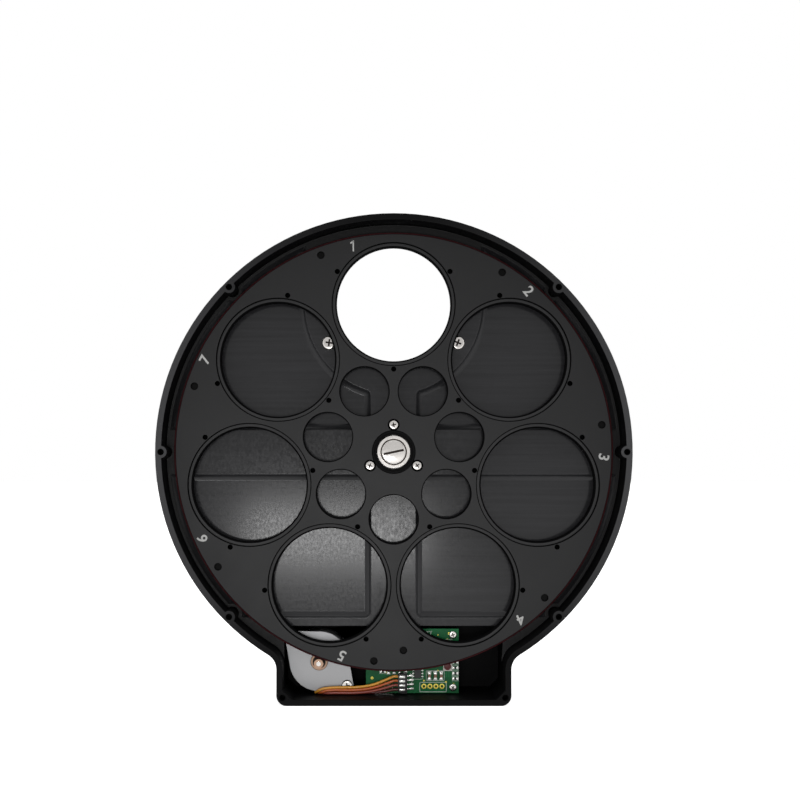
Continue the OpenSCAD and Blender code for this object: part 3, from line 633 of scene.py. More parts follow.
def turned(points, sides, base=0.0):
    """A closed outline of (radius, height above base), turned round the z axis."""
    bm = bmesh.new()
    loop = [bm.verts.new((r, 0, base + z)) for r, z in points]
    edges = [bm.edges.new(pair) for pair in zip(loop, loop[1:] + loop[:1])]
    bmesh.ops.spin(bm, geom=loop + edges, cent=(0, 0, 0), axis=(0, 0, 1),
                   angle=2 * math.pi, steps=sides, use_merge=True)
    return outwards(bm)


def thread(root_r, crest_r, pitch, low, high, sides):
    """A helical ridge from root_r to crest_r, closed at both ends."""
    bm = bmesh.new()
    ridge = ((root_r, 0), (crest_r, 0.45), (crest_r, 0.55), (root_r, 1))
    bm.faces.new([bm.verts.new((r, 0, low + pitch * up)) for r, up in ridge])
    turns = (high - low - pitch) / pitch
    steps = max(int(round(turns * sides)), 1)
    bmesh.ops.spin(bm, geom=bm.faces[:] + bm.edges[:] + bm.verts[:], cent=(0, 0, 0),
                   axis=(0, 0, 1), dvec=(0, 0, turns * pitch / steps),
                   angle=2 * math.pi * turns, steps=steps, use_merge=False)
    return outwards(bm)


def round_edges(bm, edges, offset, segments):
    bmesh.ops.bevel(bm, geom=edges, offset=offset, offset_type="OFFSET",
                    segments=segments, profile=0.5, affect="EDGES", clamp_overlap=True,
                    material=-1)


def block(x, y, z, wide, high, thick, edge=0.0, segments=2):
    """A block with its lowest corner at x, y, z and its edges rounded."""
    bm = bmesh.new()
    bmesh.ops.create_cube(bm, size=1, matrix=Matrix.Translation(
        (x + wide / 2, y + high / 2, z + thick / 2)) @ Matrix.Diagonal(
            (wide, high, thick, 1)))
    if edge:
        round_edges(bm, bm.edges[:], edge, segments)
    return bm


def cylinder(r, low, high, sides):
    bm = bmesh.new()
    bmesh.ops.create_cone(bm, cap_ends=True, cap_tris=False, segments=sides, radius1=r,
                          radius2=r, depth=high - low,
                          matrix=Matrix.Translation((0, 0, (low + high) / 2)))
    return bm


def extrude(bm, faces):
    """Extrudes faces where they are, and gives their new points."""
    grown = bmesh.ops.extrude_face_region(bm, geom=faces)
    return [v for v in grown["geom"] if isinstance(v, bmesh.types.BMVert)]


def screw_head(r, height, sides, edge, segments):
    """A round head with its upper edge rounded, its seat at z = 0."""
    bm = cylinder(r, 0, height, sides)
    rim = [e for e in bm.edges if all(v.co.z > height - 0.001 for v in e.verts)]
    round_edges(bm, rim, edge, segments)
    bm.normal_update()
    return bm


def cut_recess(bm, top, planes, inside, depth, taper):
    """Sinks the part of a flat top that inside picks out, after cutting it by planes."""
    def top_faces():
        return [f for f in bm.faces if f.normal.z > 0.99
                and abs(f.calc_center_median().z - top) < 0.001]

    for offset, normal in planes:
        faces = top_faces()
        edges = {e for f in faces for e in f.edges}
        verts = {v for f in faces for v in f.verts}
        bmesh.ops.bisect_plane(bm, geom=faces + list(edges) + list(verts), dist=0.0001,
                               plane_co=Vector(normal) * offset, plane_no=normal)
    sunk = [f for f in top_faces() if inside(f.calc_center_median())]
    moved = extrude(bm, sunk)
    bmesh.ops.scale(bm, vec=(taper, taper, 1), verts=moved)
    bmesh.ops.translate(bm, vec=(0, 0, -depth), verts=moved)
    # The sunk faces take the second finish, painted shade
    for face in {f for v in moved for f in v.link_faces}:
        face.material_index = 1
    bmesh.ops.delete(bm, geom=[f for f in sunk if f.is_valid], context="FACES")


def cross_screw(head_r, head_h, shank_r, shank_len):
    """A pan-head screw with a cross recess, its seat at z = 0."""
    bm = screw_head(head_r, head_h, 40, min(0.45 * head_h, 0.4 * head_r), 5)
    arm, web = head_r * 0.52, head_r * 0.13
    planes = [(s * d, n) for d in (web, arm) for s in (-1, 1)
              for n in ((1, 0, 0), (0, 1, 0))]
    cut_recess(bm, head_h, planes,
               lambda c: (abs(c.x) < web and abs(c.y) < arm)
               or (abs(c.y) < web and abs(c.x) < arm), head_h * 0.55, 0.8)
    return add(bm, cylinder(shank_r, -shank_len, 0.05, 24))


def slot_screw(head_r, head_h, slot_half, depth, edge):
    """A flat head with a straight slot across it, its seat at z = 0."""
    bm = screw_head(head_r, head_h, 64, edge, 3)
    reach = head_r - edge - 0.25
    cut_recess(bm, head_h, [(-slot_half, (0, 1, 0)), (slot_half, (0, 1, 0)),
                            (-reach, (1, 0, 0)), (reach, (1, 0, 0))],
               lambda c: abs(c.y) < slot_half and abs(c.x) < reach, depth, 0.99)
    return bm


def screw_set(name, body, screw, places):
    """Like screws as one piece, with painted shade in their recesses."""
    return set_down(add(bmesh.new(), screw, *places), name, body, "bright_steel",
                    "bright", "recess")


# ---- Housing and aperture ----

class FINISH_OT_housing(bpy.types.Operator):
    """Rounds the housing's edges and threads the holes for the cover's screws"""
    bl_idname = "wheel.housing"
    bl_label = "Housing"

    def execute(self, context):
        shell = rounded_copy("housing", "housing_shell", "base", "black_anodised",
                             "housing", sizes().housing_round)
        for look in ("milled", "bank", "rim"):
            shell.data.materials.append(finish_of(look))
        milled, bank, rim = 1, 2, 3
        level, sloping, near = -0.97, -0.5, 0.0003
        lip = (MID_DEPTH - TRAY_RIM) * MM
        front, back = (MID_DEPTH - FLOOR_Z - 0.1) * MM, (MID_DEPTH - FLOOR_Z + 1.6) * MM
        for face in shell.data.polygons:
            across = math.hypot(face.center.x, face.center.z - AXIS_UP * MM)
            if (face.normal.y < sloping and front < face.center.y < back
                    and across < FLOOR_R * MM):
                face.material_index = milled if face.normal.y < level else bank
            # The front rim's faces take the finish with the painted side highlight
            elif face.normal.y < level and abs(face.center.y - lip) < near:
                face.material_index = rim
        cut = thread(1.28, 1.05, 0.5, TRAY_RIM - 6, TRAY_RIM - 0.45, 20)
        spots = [spun(a) @ at(BOSS_AT, 0) for a in BOSS_ANGLES]
        spots += [at(s * CORNER_HOLE_SIDE, CORNER_HOLE_UP - AXIS_UP) for s in (-1, 1)]
        set_down(add(bmesh.new(), cut, *spots), "cover_hole_threads", "base",
                 "black_anodised", "housing", degrees=50)
        return {"FINISHED"}


class FINISH_OT_aperture(bpy.types.Operator):
    """Makes the adapter ring with its thread, and its screws"""
    bl_idname = "wheel.aperture"
    bl_label = "Aperture"

    def execute(self, context):
        size = sizes()
        root, crest, lip = 27.0, 26.6, 27.45
        outline = [(root, -5.5), (root + 0.5, -6), (35.2, -6), (35.5, -5.7), (35.5, -4.4),
                   (35.25, -4.2), (35.25, -3.6), (35.5, -3.4), (35.5, -0.3), (35.2, 0),
                   (lip, 0), (lip, 1.4), (lip - 0.1, 1.5), (root + 0.1, 1.5), (root, 1.4)]
        bm = add(turned(outline, 128), thread(
            root + 0.05, crest, size.aperture_pitch / MM, -5.4, 1.3, size.thread_sides))
        bmesh.ops.translate(bm, vec=(0, PITCH_R, 0), verts=bm.verts)
        ring = set_down(bm, "adapter_ring", "base", "black_anodised", "ring")
        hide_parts("aperture_ring")
        heads = screw_set("adapter_screws", "base", cross_screw(2.9, 1.6, 1.45, 8.4), [
            at(0, PITCH_R) @ spun(a) @ at(ADAPTER_SCREW_AT, 0, FLOOR_Z, turn)
            for a, turn in ((30, 20), (150, 65), (210, 52), (330, 8))])
        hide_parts("aperture_screws")
        return {"FINISHED"}


# ---- Carousel ----

# Figures that were stamped by hand a little off their place: shift and lean in degrees
PRINT_SLIP = {7: (1.0, 10.0)}
# How far the cutters stand past the plate
OVER = 0.3


def lettered(text):
    """A figure in the plain built-in face."""
    words = bpy.data.curves.new("figure", "FONT")
    words.body = text
    words.align_x = "CENTER"
    words.extrude = 0.02
    words.offset = 0.018
    bm = shape_of(link_object("figure", words))
    bpy.data.curves.remove(words)
    return bm


def flagged_one():
    """A figure one: an upright with a flag at its head."""
    return add(block(-0.045, 0, -0.02, 0.09, 0.72, 0.04),
               block(0, -0.05, -0.02, 0.24, 0.1, 0.04), at(0, 0.665, 0, 215))


def numeral(text, height):
    """A printed figure, its middle at the origin."""
    bm = flagged_one() if text == "1" else lettered(text)
    xs = [v.co.x for v in bm.verts]
    ys = [v.co.y for v in bm.verts]
    middle = Vector(((min(xs) + max(xs)) / 2, (min(ys) + max(ys)) / 2, 0))
    bmesh.ops.translate(bm, vec=-middle, verts=bm.verts)
    by = height / (max(ys) - min(ys))
    bmesh.ops.scale(bm, vec=(by, by, 1), verts=bm.verts)
    return bm


def hole(r, edge, sides):
    """A cutter for a hole through the carousel, with its edges broken."""
    low, high, wide = CAROUSEL_Z, CAROUSEL_TOP, r + edge + OVER
    return turned([(0, low - OVER), (wide, low - OVER), (r, low + edge), (r, high - edge),
                   (wide, high + OVER), (0, high + OVER)], sides)


class FINISH_OT_carousel(bpy.types.Operator):
    """Cuts the carousel's plate and adds its filter threads, numerals and band"""
    bl_idname = "wheel.carousel"
    bl_label = "Carousel"

    def plate(self, edge):
        low, high, rim, groove, bore = (CAROUSEL_Z, CAROUSEL_TOP, CAROUSEL_R, GROOVE_R,
                                        HUB_HOLE_R)
        stock = turned([(bore, low + edge), (bore + edge, low), (rim - edge, low),
                        (rim, low + edge), (rim, low + 1), (groove, low + 1),
                        (groove, high - 1), (rim, high - 1), (rim, high - edge),
                        (rim - edge, high), (bore + edge, high), (bore, high - edge)],
                       224)
        ledge, seat, relief, skim = high - LEDGE_DOWN, SEAT_R, 0.3, 0.05
        pocket = turned([(0, low - OVER), (FILTER_R + edge + OVER, low - OVER),
                         (FILTER_R, low + edge), (FILTER_R, ledge - relief),
                         (FILTER_R + relief, ledge), (seat - relief, ledge),
                         (seat - relief, ledge - relief), (seat, ledge - relief),
                         (seat, high - 0.12), (seat + 0.12 + skim, high + skim),
                         (0, high + skim)], 128)
        window = hole(WINDOW_R, 0.4, 72)
        clip = turned([(0, low + 0.8), (CLIP_R, low + 0.8), (CLIP_R, high + OVER),
                       (0, high + OVER)], 24)
        magnet = hole(MAGNET_R, 0.15, 28)
        screw = turned([(0, low - OVER), (1.1, low - OVER), (1.1, HUB_SCREW_SEAT),
                        (2.4, HUB_SCREW_SEAT), (2.4, high - 0.1),
                        (2.5 + OVER, high + OVER), (0, high + OVER)], 32)
        cutters = bmesh.new()
        for k in range(POCKETS):
            centre = around(k * STEP, PITCH_R)
            stamp(cutters, pocket, centre)
            stamp(cutters, window, around((k + 0.5) * STEP, WINDOW_AT))
            stamp(cutters, magnet, around(k * STEP + MAGNET_TURN, MAGNET_AT))
            for a in (30, 150, 270):
                stamp(cutters, clip, centre @ spun(a) @ at(CLIP_AT, 0))
        stamp(cutters, magnet, around(INDEX_TURN, INDEX_AT))
        for a in HUB_SCREW_ANGLES:
            stamp(cutters, screw, spun(a) @ at(HUB_SCREW_AT, 0))
        for tool in (pocket, window, clip, magnet, screw):
            tool.free()
        piece = set_down(cut_away(stock, cutters), "carousel_plate", "wheel",
                         "carousel_anodised", "carousel", "shaded_walls", "ledge", degrees=28)
        # Every face but the level top, bottom and ledge, the screw seats' floors too,
        # takes the darker finish, painted shade
        outside, wall, step, near = 0, 1, 2, 0.05
        for face in piece.data.polygons:
            height = MID_DEPTH - face.center.y / MM
            face.material_index = wall
            if abs(face.normal.y) > 0.9:
                if abs(height - ledge) < near:
                    face.material_index = step
                elif min(abs(height - high), abs(height - low)) < near:
                    face.material_index = outside
        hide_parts("carousel")

    def execute(self, context):
        size = sizes()
        self.plate(size.carousel_round / MM)
        cut = thread(FILTER_R + 0.03, FILTER_R - 0.36, size.filter_pitch / MM,
                     CAROUSEL_Z + 0.15, CAROUSEL_TOP - 1.35, size.thread_sides)
        spots = [around(k * STEP, PITCH_R) for k in range(POCKETS)]
        # The filter threads take the same painted shade as the cut faces
        set_down(add(bmesh.new(), cut, *spots), "filter_threads", "wheel",
                 "carousel_anodised", "shaded_walls", degrees=50)

        bm = bmesh.new()
        side = math.degrees(size.numeral_side)
        for k in range(POCKETS):
            slip, lean = PRINT_SLIP.get(k + 1, (0, 0))
            add(bm, numeral(str(k + 1), size.numeral_height / MM),
                around(k * STEP - side - slip, size.numeral_radius / MM,
                       CAROUSEL_TOP + 0.012, lean - side))
        set_down(bm, "pocket_numerals", "wheel", "carousel_anodised", "numeral")

        rounded_copies("carousel")
        return {"FINISHED"}


# ---- Hub ----

class FINISH_OT_hub(bpy.types.Operator):
    """Makes the hub's flange, cap and screws, and finishes its bearing"""
    bl_idname = "wheel.hub"
    bl_label = "Hub and bearing"

    def execute(self, context):
        rounded_copies("hub")
        rounded_copy("bearing_balls", "balls", "ball_set", "bright_steel", "bright", 0,
                     60)
        spots = [spun(a) @ at(HUB_SCREW_AT, 0, HUB_SCREW_SEAT, turn)
                 for a, turn in zip(HUB_SCREW_ANGLES, (12, 40, 65))]
        heads = screw_set("hub_flange_screws", "wheel", cross_screw(1.95, 1.2, 1.0, 5.0),
                          spots)
        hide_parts("hub_screws")

        cap = turned([(2.15, -0.2), (4.6, -0.2), (4.6, 0), (6.75, 0), (7.05, 0.3),
                      (7.05, 0.9), (6.75, 1.2), (5.6, 1.2), (5.45, 1.05), (5.45, 0.25),
                      (4.95, 0.25), (4.95, 0.5), (2.15, 0.5)], 96, CAP_Z)
        # The cap's groove takes painted shade
        for face in cap.faces:
            if 4.9 < face.calc_center_median().xy.length < 5.47:
                face.material_index = 1
        piece = set_down(cap, "hub_cap", "base", "bright_steel", "steel", "recess")
        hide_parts("pivot_cap")

        bm = add(bmesh.new(), slot_screw(4.7, 1.2, 0.48, 0.65, 0.18),
                 at(0, 0, CAP_Z + 0.5, 12))
        add(bm, cylinder(2.0, 2.3, CAP_Z + 0.6, 32))
        piece = set_down(bm, "hub_slotted_screw", "base", "bright_steel", "steel",
                         "recess")
        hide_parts("pivot_screw")
        return {"FINISHED"}


# ---- Motor ----

def knurled_roller(r, low, high):
    """A roller with straight knurling, drawn from a star outline."""
    teeth, bite = 24, 0.14
    bm = bmesh.new()
    made = bmesh.ops.create_circle(bm, cap_ends=True, segments=teeth * 2, radius=r)
    for vert in [v for i, v in enumerate(made["verts"]) if i % 2]:
        vert.co *= (r - bite) / r
    bmesh.ops.translate(bm, vec=(0, 0, low), verts=bm.verts)
    bmesh.ops.translate(bm, vec=(0, 0, high - low), verts=extrude(bm, bm.faces[:]))
    return bm


class FINISH_OT_motor(bpy.types.Operator):
    """Finishes the motor, its plate, bushings, screws and knurled capstan"""
    bl_idname = "wheel.motor"
    bl_label = "Motor"

    def execute(self, context):
        rounded_copies("motor")
        bore = 1.02
        bm = turned([(bore, -1.8), (3.0, -1.8), (3.0, 0), (3.65, 0), (3.65, 0.85),
                     (3.4, 1.15), (2.75, 1.15), (2.6, 0.35), (1.9, 0.35), (1.75, 1.2),
                     (bore, 1.2)], 64, PLATE_TOP)
        # The bushing's groove takes painted shade
        for face in bm.faces:
            if 1.7 < face.calc_center_median().xy.length < 2.74:
                face.material_index = 1
        add(bm, turned([(bore, -10.9), (3.0, -10.9), (3.0, -9.3), (bore, -9.3)], 48))
        bmesh.ops.translate(bm, vec=MOTOR, verts=bm.verts)
        piece = set_down(bm, "shaft_bushings", "base", "bronze", "bronze", "recess")
        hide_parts("motor_bushings")

        screw = cross_screw(2.3, 1.3, 1.05, 5.0)
        # The heads' rounded rims and sides, and the shanks, take painted shade
        for face in screw.faces:
            if face.normal.z < 0.8 or face.calc_center_median().z < 0:
                face.material_index = 1
        lugs = Matrix.Translation(MOTOR) @ spun(LUG_TURN)
        spots = [lugs @ at(s * LUG_AT, 0, PLATE_TOP, turn)
                 for s, turn in ((-1, 15), (1, 50))]
        heads = screw_set("motor_mount_screws", "base", screw, spots)
        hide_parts("motor_screws")

        bm = knurled_roller(2.0, PLATE_TOP + 1.7, CAROUSEL_TOP)
        bmesh.ops.translate(bm, vec=MOTOR, verts=bm.verts)
        piece = set_down(bm, "knurled_capstan", "drive", "bronze", "bronze", degrees=20)
        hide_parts("capstan")
        return {"FINISHED"}


# ---- Circuit board ----

def ribbon(bm, points, width, thick=0.03):
    """A flat printed or etched line through points on the board."""
    for a, b in zip(points, points[1:]):
        run = Vector((*b, 0)) - Vector((*a, 0))
        add(bm, block(-width / 2, -width / 2, 0, run.length + width, width, thick),
            at(*a, BOARD_TOP, math.degrees(math.atan2(run.y, run.x))))


def gull_leads(bm, x, y, wide, high, count, pitch, sides):
    """Bent contacts along the sides of a chip whose lowest corner is at x, y."""
    foot = (-0.16, 0, 0.02, 0.32, 0.85, 0.14)
    knee = (-0.16, -0.05, 0.02, 0.32, 0.16, 0.55)
    for side in sides:
        for i in range(count):
            run = (i - (count - 1) / 2) * pitch
            across, up = x + wide / 2 + run, y + high / 2 + run
            spot = at(*{"L": (x, up, BOARD_TOP, 90), "R": (x + wide, up, BOARD_TOP, -90),
                        "B": (across, y, BOARD_TOP, 180),
                        "T": (across, y + high, BOARD_TOP, 0)}[side])
            for part in (foot, knee):
                add(bm, block(*part, 0.03, 1), spot)


def chip_part(bm_body, bm_ends, x, y, wide, high, thick):
    """A two-ended part: a body between two metal ends."""
    end = 0.28 * max(wide, high)
    inset = 0.05
    body = block(x + inset, y + inset, BOARD_TOP + 0.02, wide - 2 * inset,
                 high - 2 * inset, thick - 0.04, 0.04, 1)
    if high > wide:
        caps = [(x, y + s * (high - end), BOARD_TOP, wide, end) for s in (0, 1)]
        by, middle = (1, (high - end) / high, 1), (0, -(y + high / 2), 0)
    else:
        caps = [(x + s * (wide - end), y, BOARD_TOP, end, high) for s in (0, 1)]
        by, middle = ((wide - end) / wide, 1, 1), (-(x + wide / 2), 0, 0)
    for cap in caps:
        add(bm_ends, block(*cap, thick, 0.08))
    bmesh.ops.scale(body, vec=by, verts=body.verts, space=Matrix.Translation(middle))
    add(bm_body, body)


class FINISH_OT_board(bpy.types.Operator):
    """Adds tracks, print, pads, contacts and parts to the circuit board"""
    bl_idname = "wheel.board"
    bl_label = "Circuit board"

    def execute(self, context):
        rounded_copies("board")
        self.copper_and_print()
        self.parts()
        self.connector()
        return {"FINISHED"}

    def copper_and_print(self):
        tracks = bmesh.new()
        for i in range(7):
            x = -9.5 + 1.1 * i
            ribbon(tracks, [(x, -76.5), (x, -88.0 - 0.8 * i), (x + 3.0, -91.0 - 0.8 * i)],
                   0.32, 0.02)
        for i in range(6):
            y = -76.4 - 0.9 * i
            ribbon(tracks, [(-1.5, y), (14.0 + i, y), (17.0 + i, y - 3.0)], 0.3, 0.02)
        header = [HEADER_X + HEADER_PITCH * i for i in range(HEADER_PINS)]
        for x in header:
            ribbon(tracks, [(x, HEADER_Y), (x, -97.2), (x + 0.7, -96.4)], 0.3, 0.02)
        for i in range(3):
            ribbon(tracks, [(18.6 + i, -88.0), (21.4 + i, -90.8), (21.4 + i, -95.0)],
                   0.28, 0.02)
        set_down(tracks, "board_tracks", "base", "board_green", "track")

        lines = [([(11.15, -97.35), (22.35, -97.35), (22.35, -101.35), (11.15, -101.35),
                   (11.15, -97.35)], 0.28)]
        for x, y, w, h in ((10.4, -87.7, 8.2, 8.2), (8.2, -96.0, 4.2, 6.2),
                           (-3.6, -100.6, 3.2, 2.2), (13.9, -96.6, 7.6, 4.2)):
            lines.append(([(x, y), (x + w, y), (x + w, y + h), (x, y + h), (x, y)], 0.2))
        margin = 0.42
        for x, y, w, h in RESISTORS + CAPACITORS:
            for up in (y - margin, y + h + margin):
                lines.append(([(x - margin, up), (x + w + margin, up)], 0.2))
        lines += [([(7.2, -93.6), (8.0, -94.6), (8.0, -97.0), (7.2, -98.2)], 0.25),
                  ([(14.2, -75.8), (16.2, -75.8)], 0.3),
                  ([(14.6, -75.8), (14.6, -77.4)], 0.3),
                  ([(15.8, -75.8), (15.8, -77.4)], 0.3),
                  ([(-8.6, -78.0), (-8.6, -83.0)], 0.25)]
        ink = bmesh.new()
        for points, width in lines:
            ribbon(ink, points, width)
        set_down(ink, "board_print", "base", "board_green", "print")

        gold = add(bmesh.new(), turned(
            [(0.52, 0), (1.12, 0), (1.08, 0.06), (0.56, 0.06)], 28),
            *[at(x, HEADER_Y, BOARD_TOP) for x in header])
        for x, y, r in BARE_PADS:
            add(gold, turned([(r * 0.4, 0), (r, 0), (r * 0.95, 0.06), (r * 0.45, 0.06)],
                             20), at(x, y, BOARD_TOP))
        add(gold, turned([(0.12, 0), (0.3, 0), (0.27, 0.04), (0.15, 0.04)], 12),
            *[at(-10.4 + (i * 7.3) % 36.5, -77.0 - (i * 5.7) % 18.0, BOARD_TOP)
              for i in range(24)])
        piece = set_down(gold, "gold_pads", "base", "gold", "gold")
        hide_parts("header_pads")

    def parts(self):
        ends, brown, black = bmesh.new(), bmesh.new(), bmesh.new()
        for row in CAPACITORS:
            chip_part(brown, ends, *row, 1.0)
        for row in RESISTORS:
            chip_part(black, ends, *row, 0.5)
        for x, y, w, h in CAPACITORS + RESISTORS:
            for s in (0, 1):
                if h > w:
                    pad = (x - 0.12, y + s * h - 0.4, BOARD_TOP, w + 0.24, 0.8)
                else:
                    pad = (x + s * w - 0.4, y - 0.12, BOARD_TOP, 0.8, h + 0.24)
                add(ends, block(*pad, 0.16, 0.06, 1))
        gull_leads(ends, 11, -87, 7, 7, 8, 0.8, "LRTB")
        gull_leads(ends, 8.8, -95.4, 3, 5, 4, 1.27, "LR")
        piece = set_down(brown, "capacitor_bodies", "base", "ceramic", "ceramic")
        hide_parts("small_parts")
        set_down(black, "resistor_bodies", "base", "chip_black", "chip")
        set_down(ends, "soldered_ends", "base", "bright_steel", "solder")

        place = at(*LAMP_AT, BOARD_TOP)
        dome = turned([(0.0, 0), (1.5, 0), (1.5, 0.7), (1.3, 0.95), (0.0, 1.1)], 24)
        set_down(add(bmesh.new(), dome, place), "signal_lamp", "base", "chip_black",
                 "lamp")
        collar = block(-1.9, -1.9, 0, 3.8, 3.8, 0.4, 0.12)
        set_down(add(bmesh.new(), collar, place), "signal_lamp_base", "base", "nylon",
                 "nylon")

        spots = [at(x, y, BOARD_TOP, turn) for x, y, turn in (
            (25.1, -77.2, 20), (25.1, -99.4, 50), (-9.1, -77.2, 5))]
        heads = screw_set("board_mount_screws", "base", cross_screw(1.6, 1.0, 0.85, 4.0),
                          spots)
        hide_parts("board_screws")

    def connector(self):
        foot, mid, half = BOARD_TOP, sum(PIN_Y) / 4, 3.775
        body = bmesh.new()
        for wall in ((2.8, mid - half - 0.4, foot, 2.9, 2 * half + 0.8, 0.55),
                     (2.8, mid - half - 0.4, foot + 0.5, 2.9, 0.34, 2.85),
                     (2.8, mid + half + 0.06, foot + 0.5, 2.9, 0.34, 2.85),
                     (5.3, mid - half - 0.1, foot + 0.5, 0.4, 2 * half + 0.2, 2.85)):
            add(body, block(*wall, 0.08))
        piece = set_down(body, "socket_body", "base", "chip_black", "chip")
        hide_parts("motor_socket")
        plug = block(PLUG_X, mid - half, foot + 0.7, 3.3, 2 * half, 2.6, 0.15)
        piece = set_down(plug, "plug_body", "base", "chip_black", "chip")
        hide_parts("motor_plug")
        tins = bmesh.new()
        for y in PIN_Y:
            for tin in ((2.45, y - 0.5, 6.74, 2.4, 1.0, 0.12, 0.05),
                        (5.6, y - 0.32, foot + 0.5, 1.0, 0.64, 0.3, 0.08),
                        (6.35, y - 0.32, foot + 0.1, 0.3, 0.64, 0.7, 0.08),
                        (6.35, y - 0.32, foot + 0.08, 1.9, 0.64, 0.3, 0.08),
                        (6.9, y - 0.5, foot, 1.6, 1.0, 0.14, 0.05)):
                add(tins, block(*tin))
        set_down(tins, "plug_contacts", "base", "bright_steel", "solder")


# ---- Leads ----

def smooth_route(route):
    """Points on the smooth curve through every point of the route."""
    steps = 8
    pts = [Vector(p) for p in route]
    pts = [pts[0]] + pts + [pts[-1]]
    found = []
    for a, b, c, d in zip(pts, pts[1:], pts[2:], pts[3:]):
        for i in range(steps):
            t = i / steps
            found.append(0.5 * (2 * b + (c - a) * t + (2 * a - 5 * b + 4 * c - d) * t * t
                                + (3 * b - a - 3 * c + d) * t ** 3))
    return found + [pts[-1]]


def tube_along(name, points, body, slot, look):
    """A lead's round tube along points in the drawing, as a closed mesh."""
    curve = bpy.data.curves.new(name, "CURVE")
    curve.dimensions = "3D"
    curve.bevel_depth = LEAD_R
    curve.bevel_resolution = 5
    curve.use_fill_caps = True
    line = curve.splines.new("POLY")
    line.points.add(len(points) - 1)
    for spot, point in zip(line.points, points):
        spot.co = (*point, 1)
    bm = shape_of(link_object(name + "_line", curve))
    bpy.data.curves.remove(curve)
    return set_down(bm, name, body, slot, look, degrees=60)


LEADS = {
    "yellow": [(-32.9, EXIT_Y, 1), (-32.8, -101.3, 4.9), (-31.4, -100.2, 6.5),
               (-29, -99.4, 6.6), (-24, -99, 6.4), (-16, -98.9, 6.4), (-9, -98, 6),
               (-3, -95.8, LEAD_Z)],
    "orange": [(-31.7, EXIT_Y, 1), (-31.6, -101.5, 4.6), (-30.2, -101, 6.2),
               (-28, -100.3, 6.5), (-24, -100.1, 6.4), (-16, -100.1, 6.4),
               (-9, -99.3, 6), (-3, -97.5, LEAD_Z)],
    "red": [(-30.5, EXIT_Y, 1), (-30.4, -101.55, 4), (-29, -101.5, 5.7),
            (-27, -101.4, 6.3), (-24, -101.3, 6.35), (-16, -101.3, 6.35),
            (-9, -100.6, 6), (-3, -99.2, LEAD_Z)],
    "maroon": [(-29.3, EXIT_Y, 0), (-29.2, -101.55, 3), (-27.8, -101.55, 4.7),
               (-26, -101.55, 5.1), (-22, -101.55, 5.1), (-16, -101.55, 5.1),
               (-9, -101.4, 4.8), (-3, -100.8, 5.1)],
}


class FINISH_OT_leads(bpy.types.Operator):
    """Runs the four insulated leads from the motor to their plug"""
    bl_idname = "wheel.leads"
    bl_label = "Leads"

    def execute(self, context):
        for (name, route), y in zip(LEADS.items(), PIN_Y):
            exit_x = route[0][0]
            points = smooth_route([(exit_x, EXIT_Y, LEAD_FOOT), *route, (0, y, LEAD_Z),
                                   (PLUG_X, y, LEAD_Z)])
            piece = tube_along(name + "_wire", points, "base", "wire_" + name, name)
            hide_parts("lead_" + name)
        return {"FINISHED"}


# ---- Stage ----

def white_where_seen(tree, strength):
    """A white glow that only the camera, reflections and clear parts see."""
    rays = node(tree, "ShaderNodeLightPath").outputs
    seen = rays["Is Camera Ray"]
    for kind in ("Is Glossy Ray", "Is Transmission Ray"):
        seen = calculate(tree, "ADD", seen, rays[kind], use_clamp=True)
    return calculate(tree, "MULTIPLY", seen, strength)


def soft_lamp(name, place, wide, high, watts):
    """A soft rectangular lamp that is turned to the hub."""
    lamp = bpy.data.lights.new(name, "AREA")
    lamp.shape = "RECTANGLE"
    lamp.size, lamp.size_y = wide, high
    lamp.energy = watts
    holder = link_object(name, lamp)
    holder.location = place
    towards = Vector((0, -0.01, AXIS_UP * MM)) - Vector(place)
    holder.rotation_euler = towards.to_track_quat("-Z", "Y").to_euler()


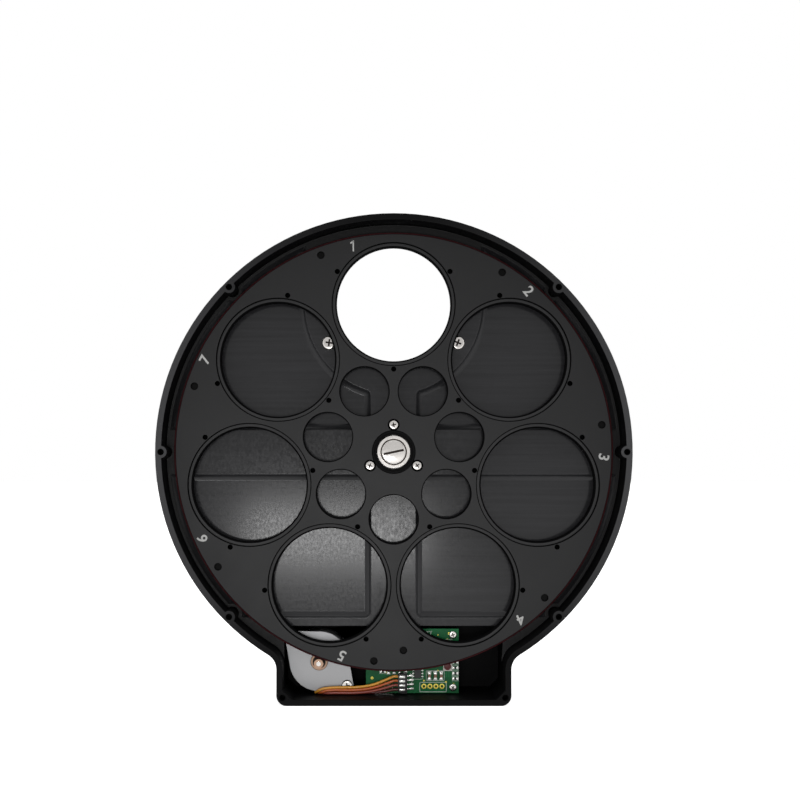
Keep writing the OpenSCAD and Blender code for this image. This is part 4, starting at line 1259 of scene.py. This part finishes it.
class FINISH_OT_stage(bpy.types.Operator):
    """Sets the floor, the white surround, the soft lamps and the camera"""
    bl_idname = "wheel.stage"
    bl_label = "Stage"

    def execute(self, context):
        scene = context.scene
        setting = scene.wheel_stage
        bm = bmesh.new()
        bmesh.ops.create_grid(bm, x_segments=2, y_segments=2, size=4)
        floor = link_object("studio_floor", as_mesh(bm, "studio_floor"))
        material, tree, shader = new_material("studio_paper", {
            "Base Color": (0.8, 0.8, 0.8, 1), "Roughness": 0.9,
            "Specular IOR Level": 0.1, "Emission Color": (1, 1, 1, 1)})
        feed(tree, shader.inputs["Emission Strength"], white_where_seen(tree, 0.75))
        floor.data.materials.append(material)

        world = bpy.data.worlds.new("studio_air")
        scene.world = world
        world.use_nodes = True
        tree = world.node_tree
        ground = tree.nodes["Background"]
        ground.inputs["Color"].default_value = (1, 1, 1, 1)
        share = white_where_seen(tree, 1 - setting.ambient)
        feed(tree, ground.inputs["Strength"],
             calculate(tree, "ADD", share, setting.ambient))

        for name, place, wide, high, watts in (
                ("front_lamp", (-0.044, -0.65, 0.03), 0.16, 0.05, setting.front_power),
                ("left_lamp", (-1.2, -0.5, 0.5), 0.5, 1.0, setting.side_power),
                ("right_lamp", (1.2, -0.5, 0.4), 0.5, 1.0, setting.side_power),
                ("top_lamp", (0, -0.2, 1.2), 1.0, 0.6, setting.top_power)):
            soft_lamp(name, place, wide, high, watts)

        lens = bpy.data.cameras.new("view")
        lens.sensor_fit = "HORIZONTAL"
        lens.sensor_width = 36
        lens.lens = setting.lens
        lens.shift_x, lens.shift_y = 0.0325, 0.065
        camera = link_object("view", lens)
        camera.location = (-0.0082, -0.5668, 0.1048)
        camera.rotation_euler = (math.radians(90), 0, 0)
        scene.camera = camera
        scene.view_settings.view_transform = "Standard"
        return {"FINISHED"}


# ---- Panel and registration ----

OPERATORS = (FINISH_OT_stage, FINISH_OT_housing, FINISH_OT_aperture, FINISH_OT_carousel,
             FINISH_OT_hub, FINISH_OT_motor, FINISH_OT_board, FINISH_OT_leads)


class FINISH_PT_wheel(bpy.types.Panel):
    """Lists the steps that finish the filter wheel"""
    bl_label = "Filter wheel"
    bl_idname = "FINISH_PT_wheel"
    bl_space_type = "VIEW_3D"
    bl_region_type = "UI"
    bl_category = "Filter wheel"

    def draw(self, context):
        for step in OPERATORS:
            self.layout.operator(step.bl_idname)


CLASSES = (WheelSizes, WheelColours, StageSettings, *OPERATORS, FINISH_PT_wheel)


def register():
    for item in CLASSES:
        bpy.utils.register_class(item)
    bpy.types.Scene.wheel_sizes = PointerProperty(type=WheelSizes)
    bpy.types.Scene.wheel_colours = PointerProperty(type=WheelColours)
    bpy.types.Scene.wheel_stage = PointerProperty(type=StageSettings)


def unregister():
    del bpy.types.Scene.wheel_stage
    del bpy.types.Scene.wheel_colours
    del bpy.types.Scene.wheel_sizes
    for item in reversed(CLASSES):
        bpy.utils.unregister_class(item)


def main():
    register()
    for step in OPERATORS:
        group, action = step.bl_idname.split(".")
        if getattr(getattr(bpy.ops, group), action)() != {"FINISHED"}:
            raise RuntimeError(f"{step.bl_label} did not finish")


if __name__ == "__main__":
    main()
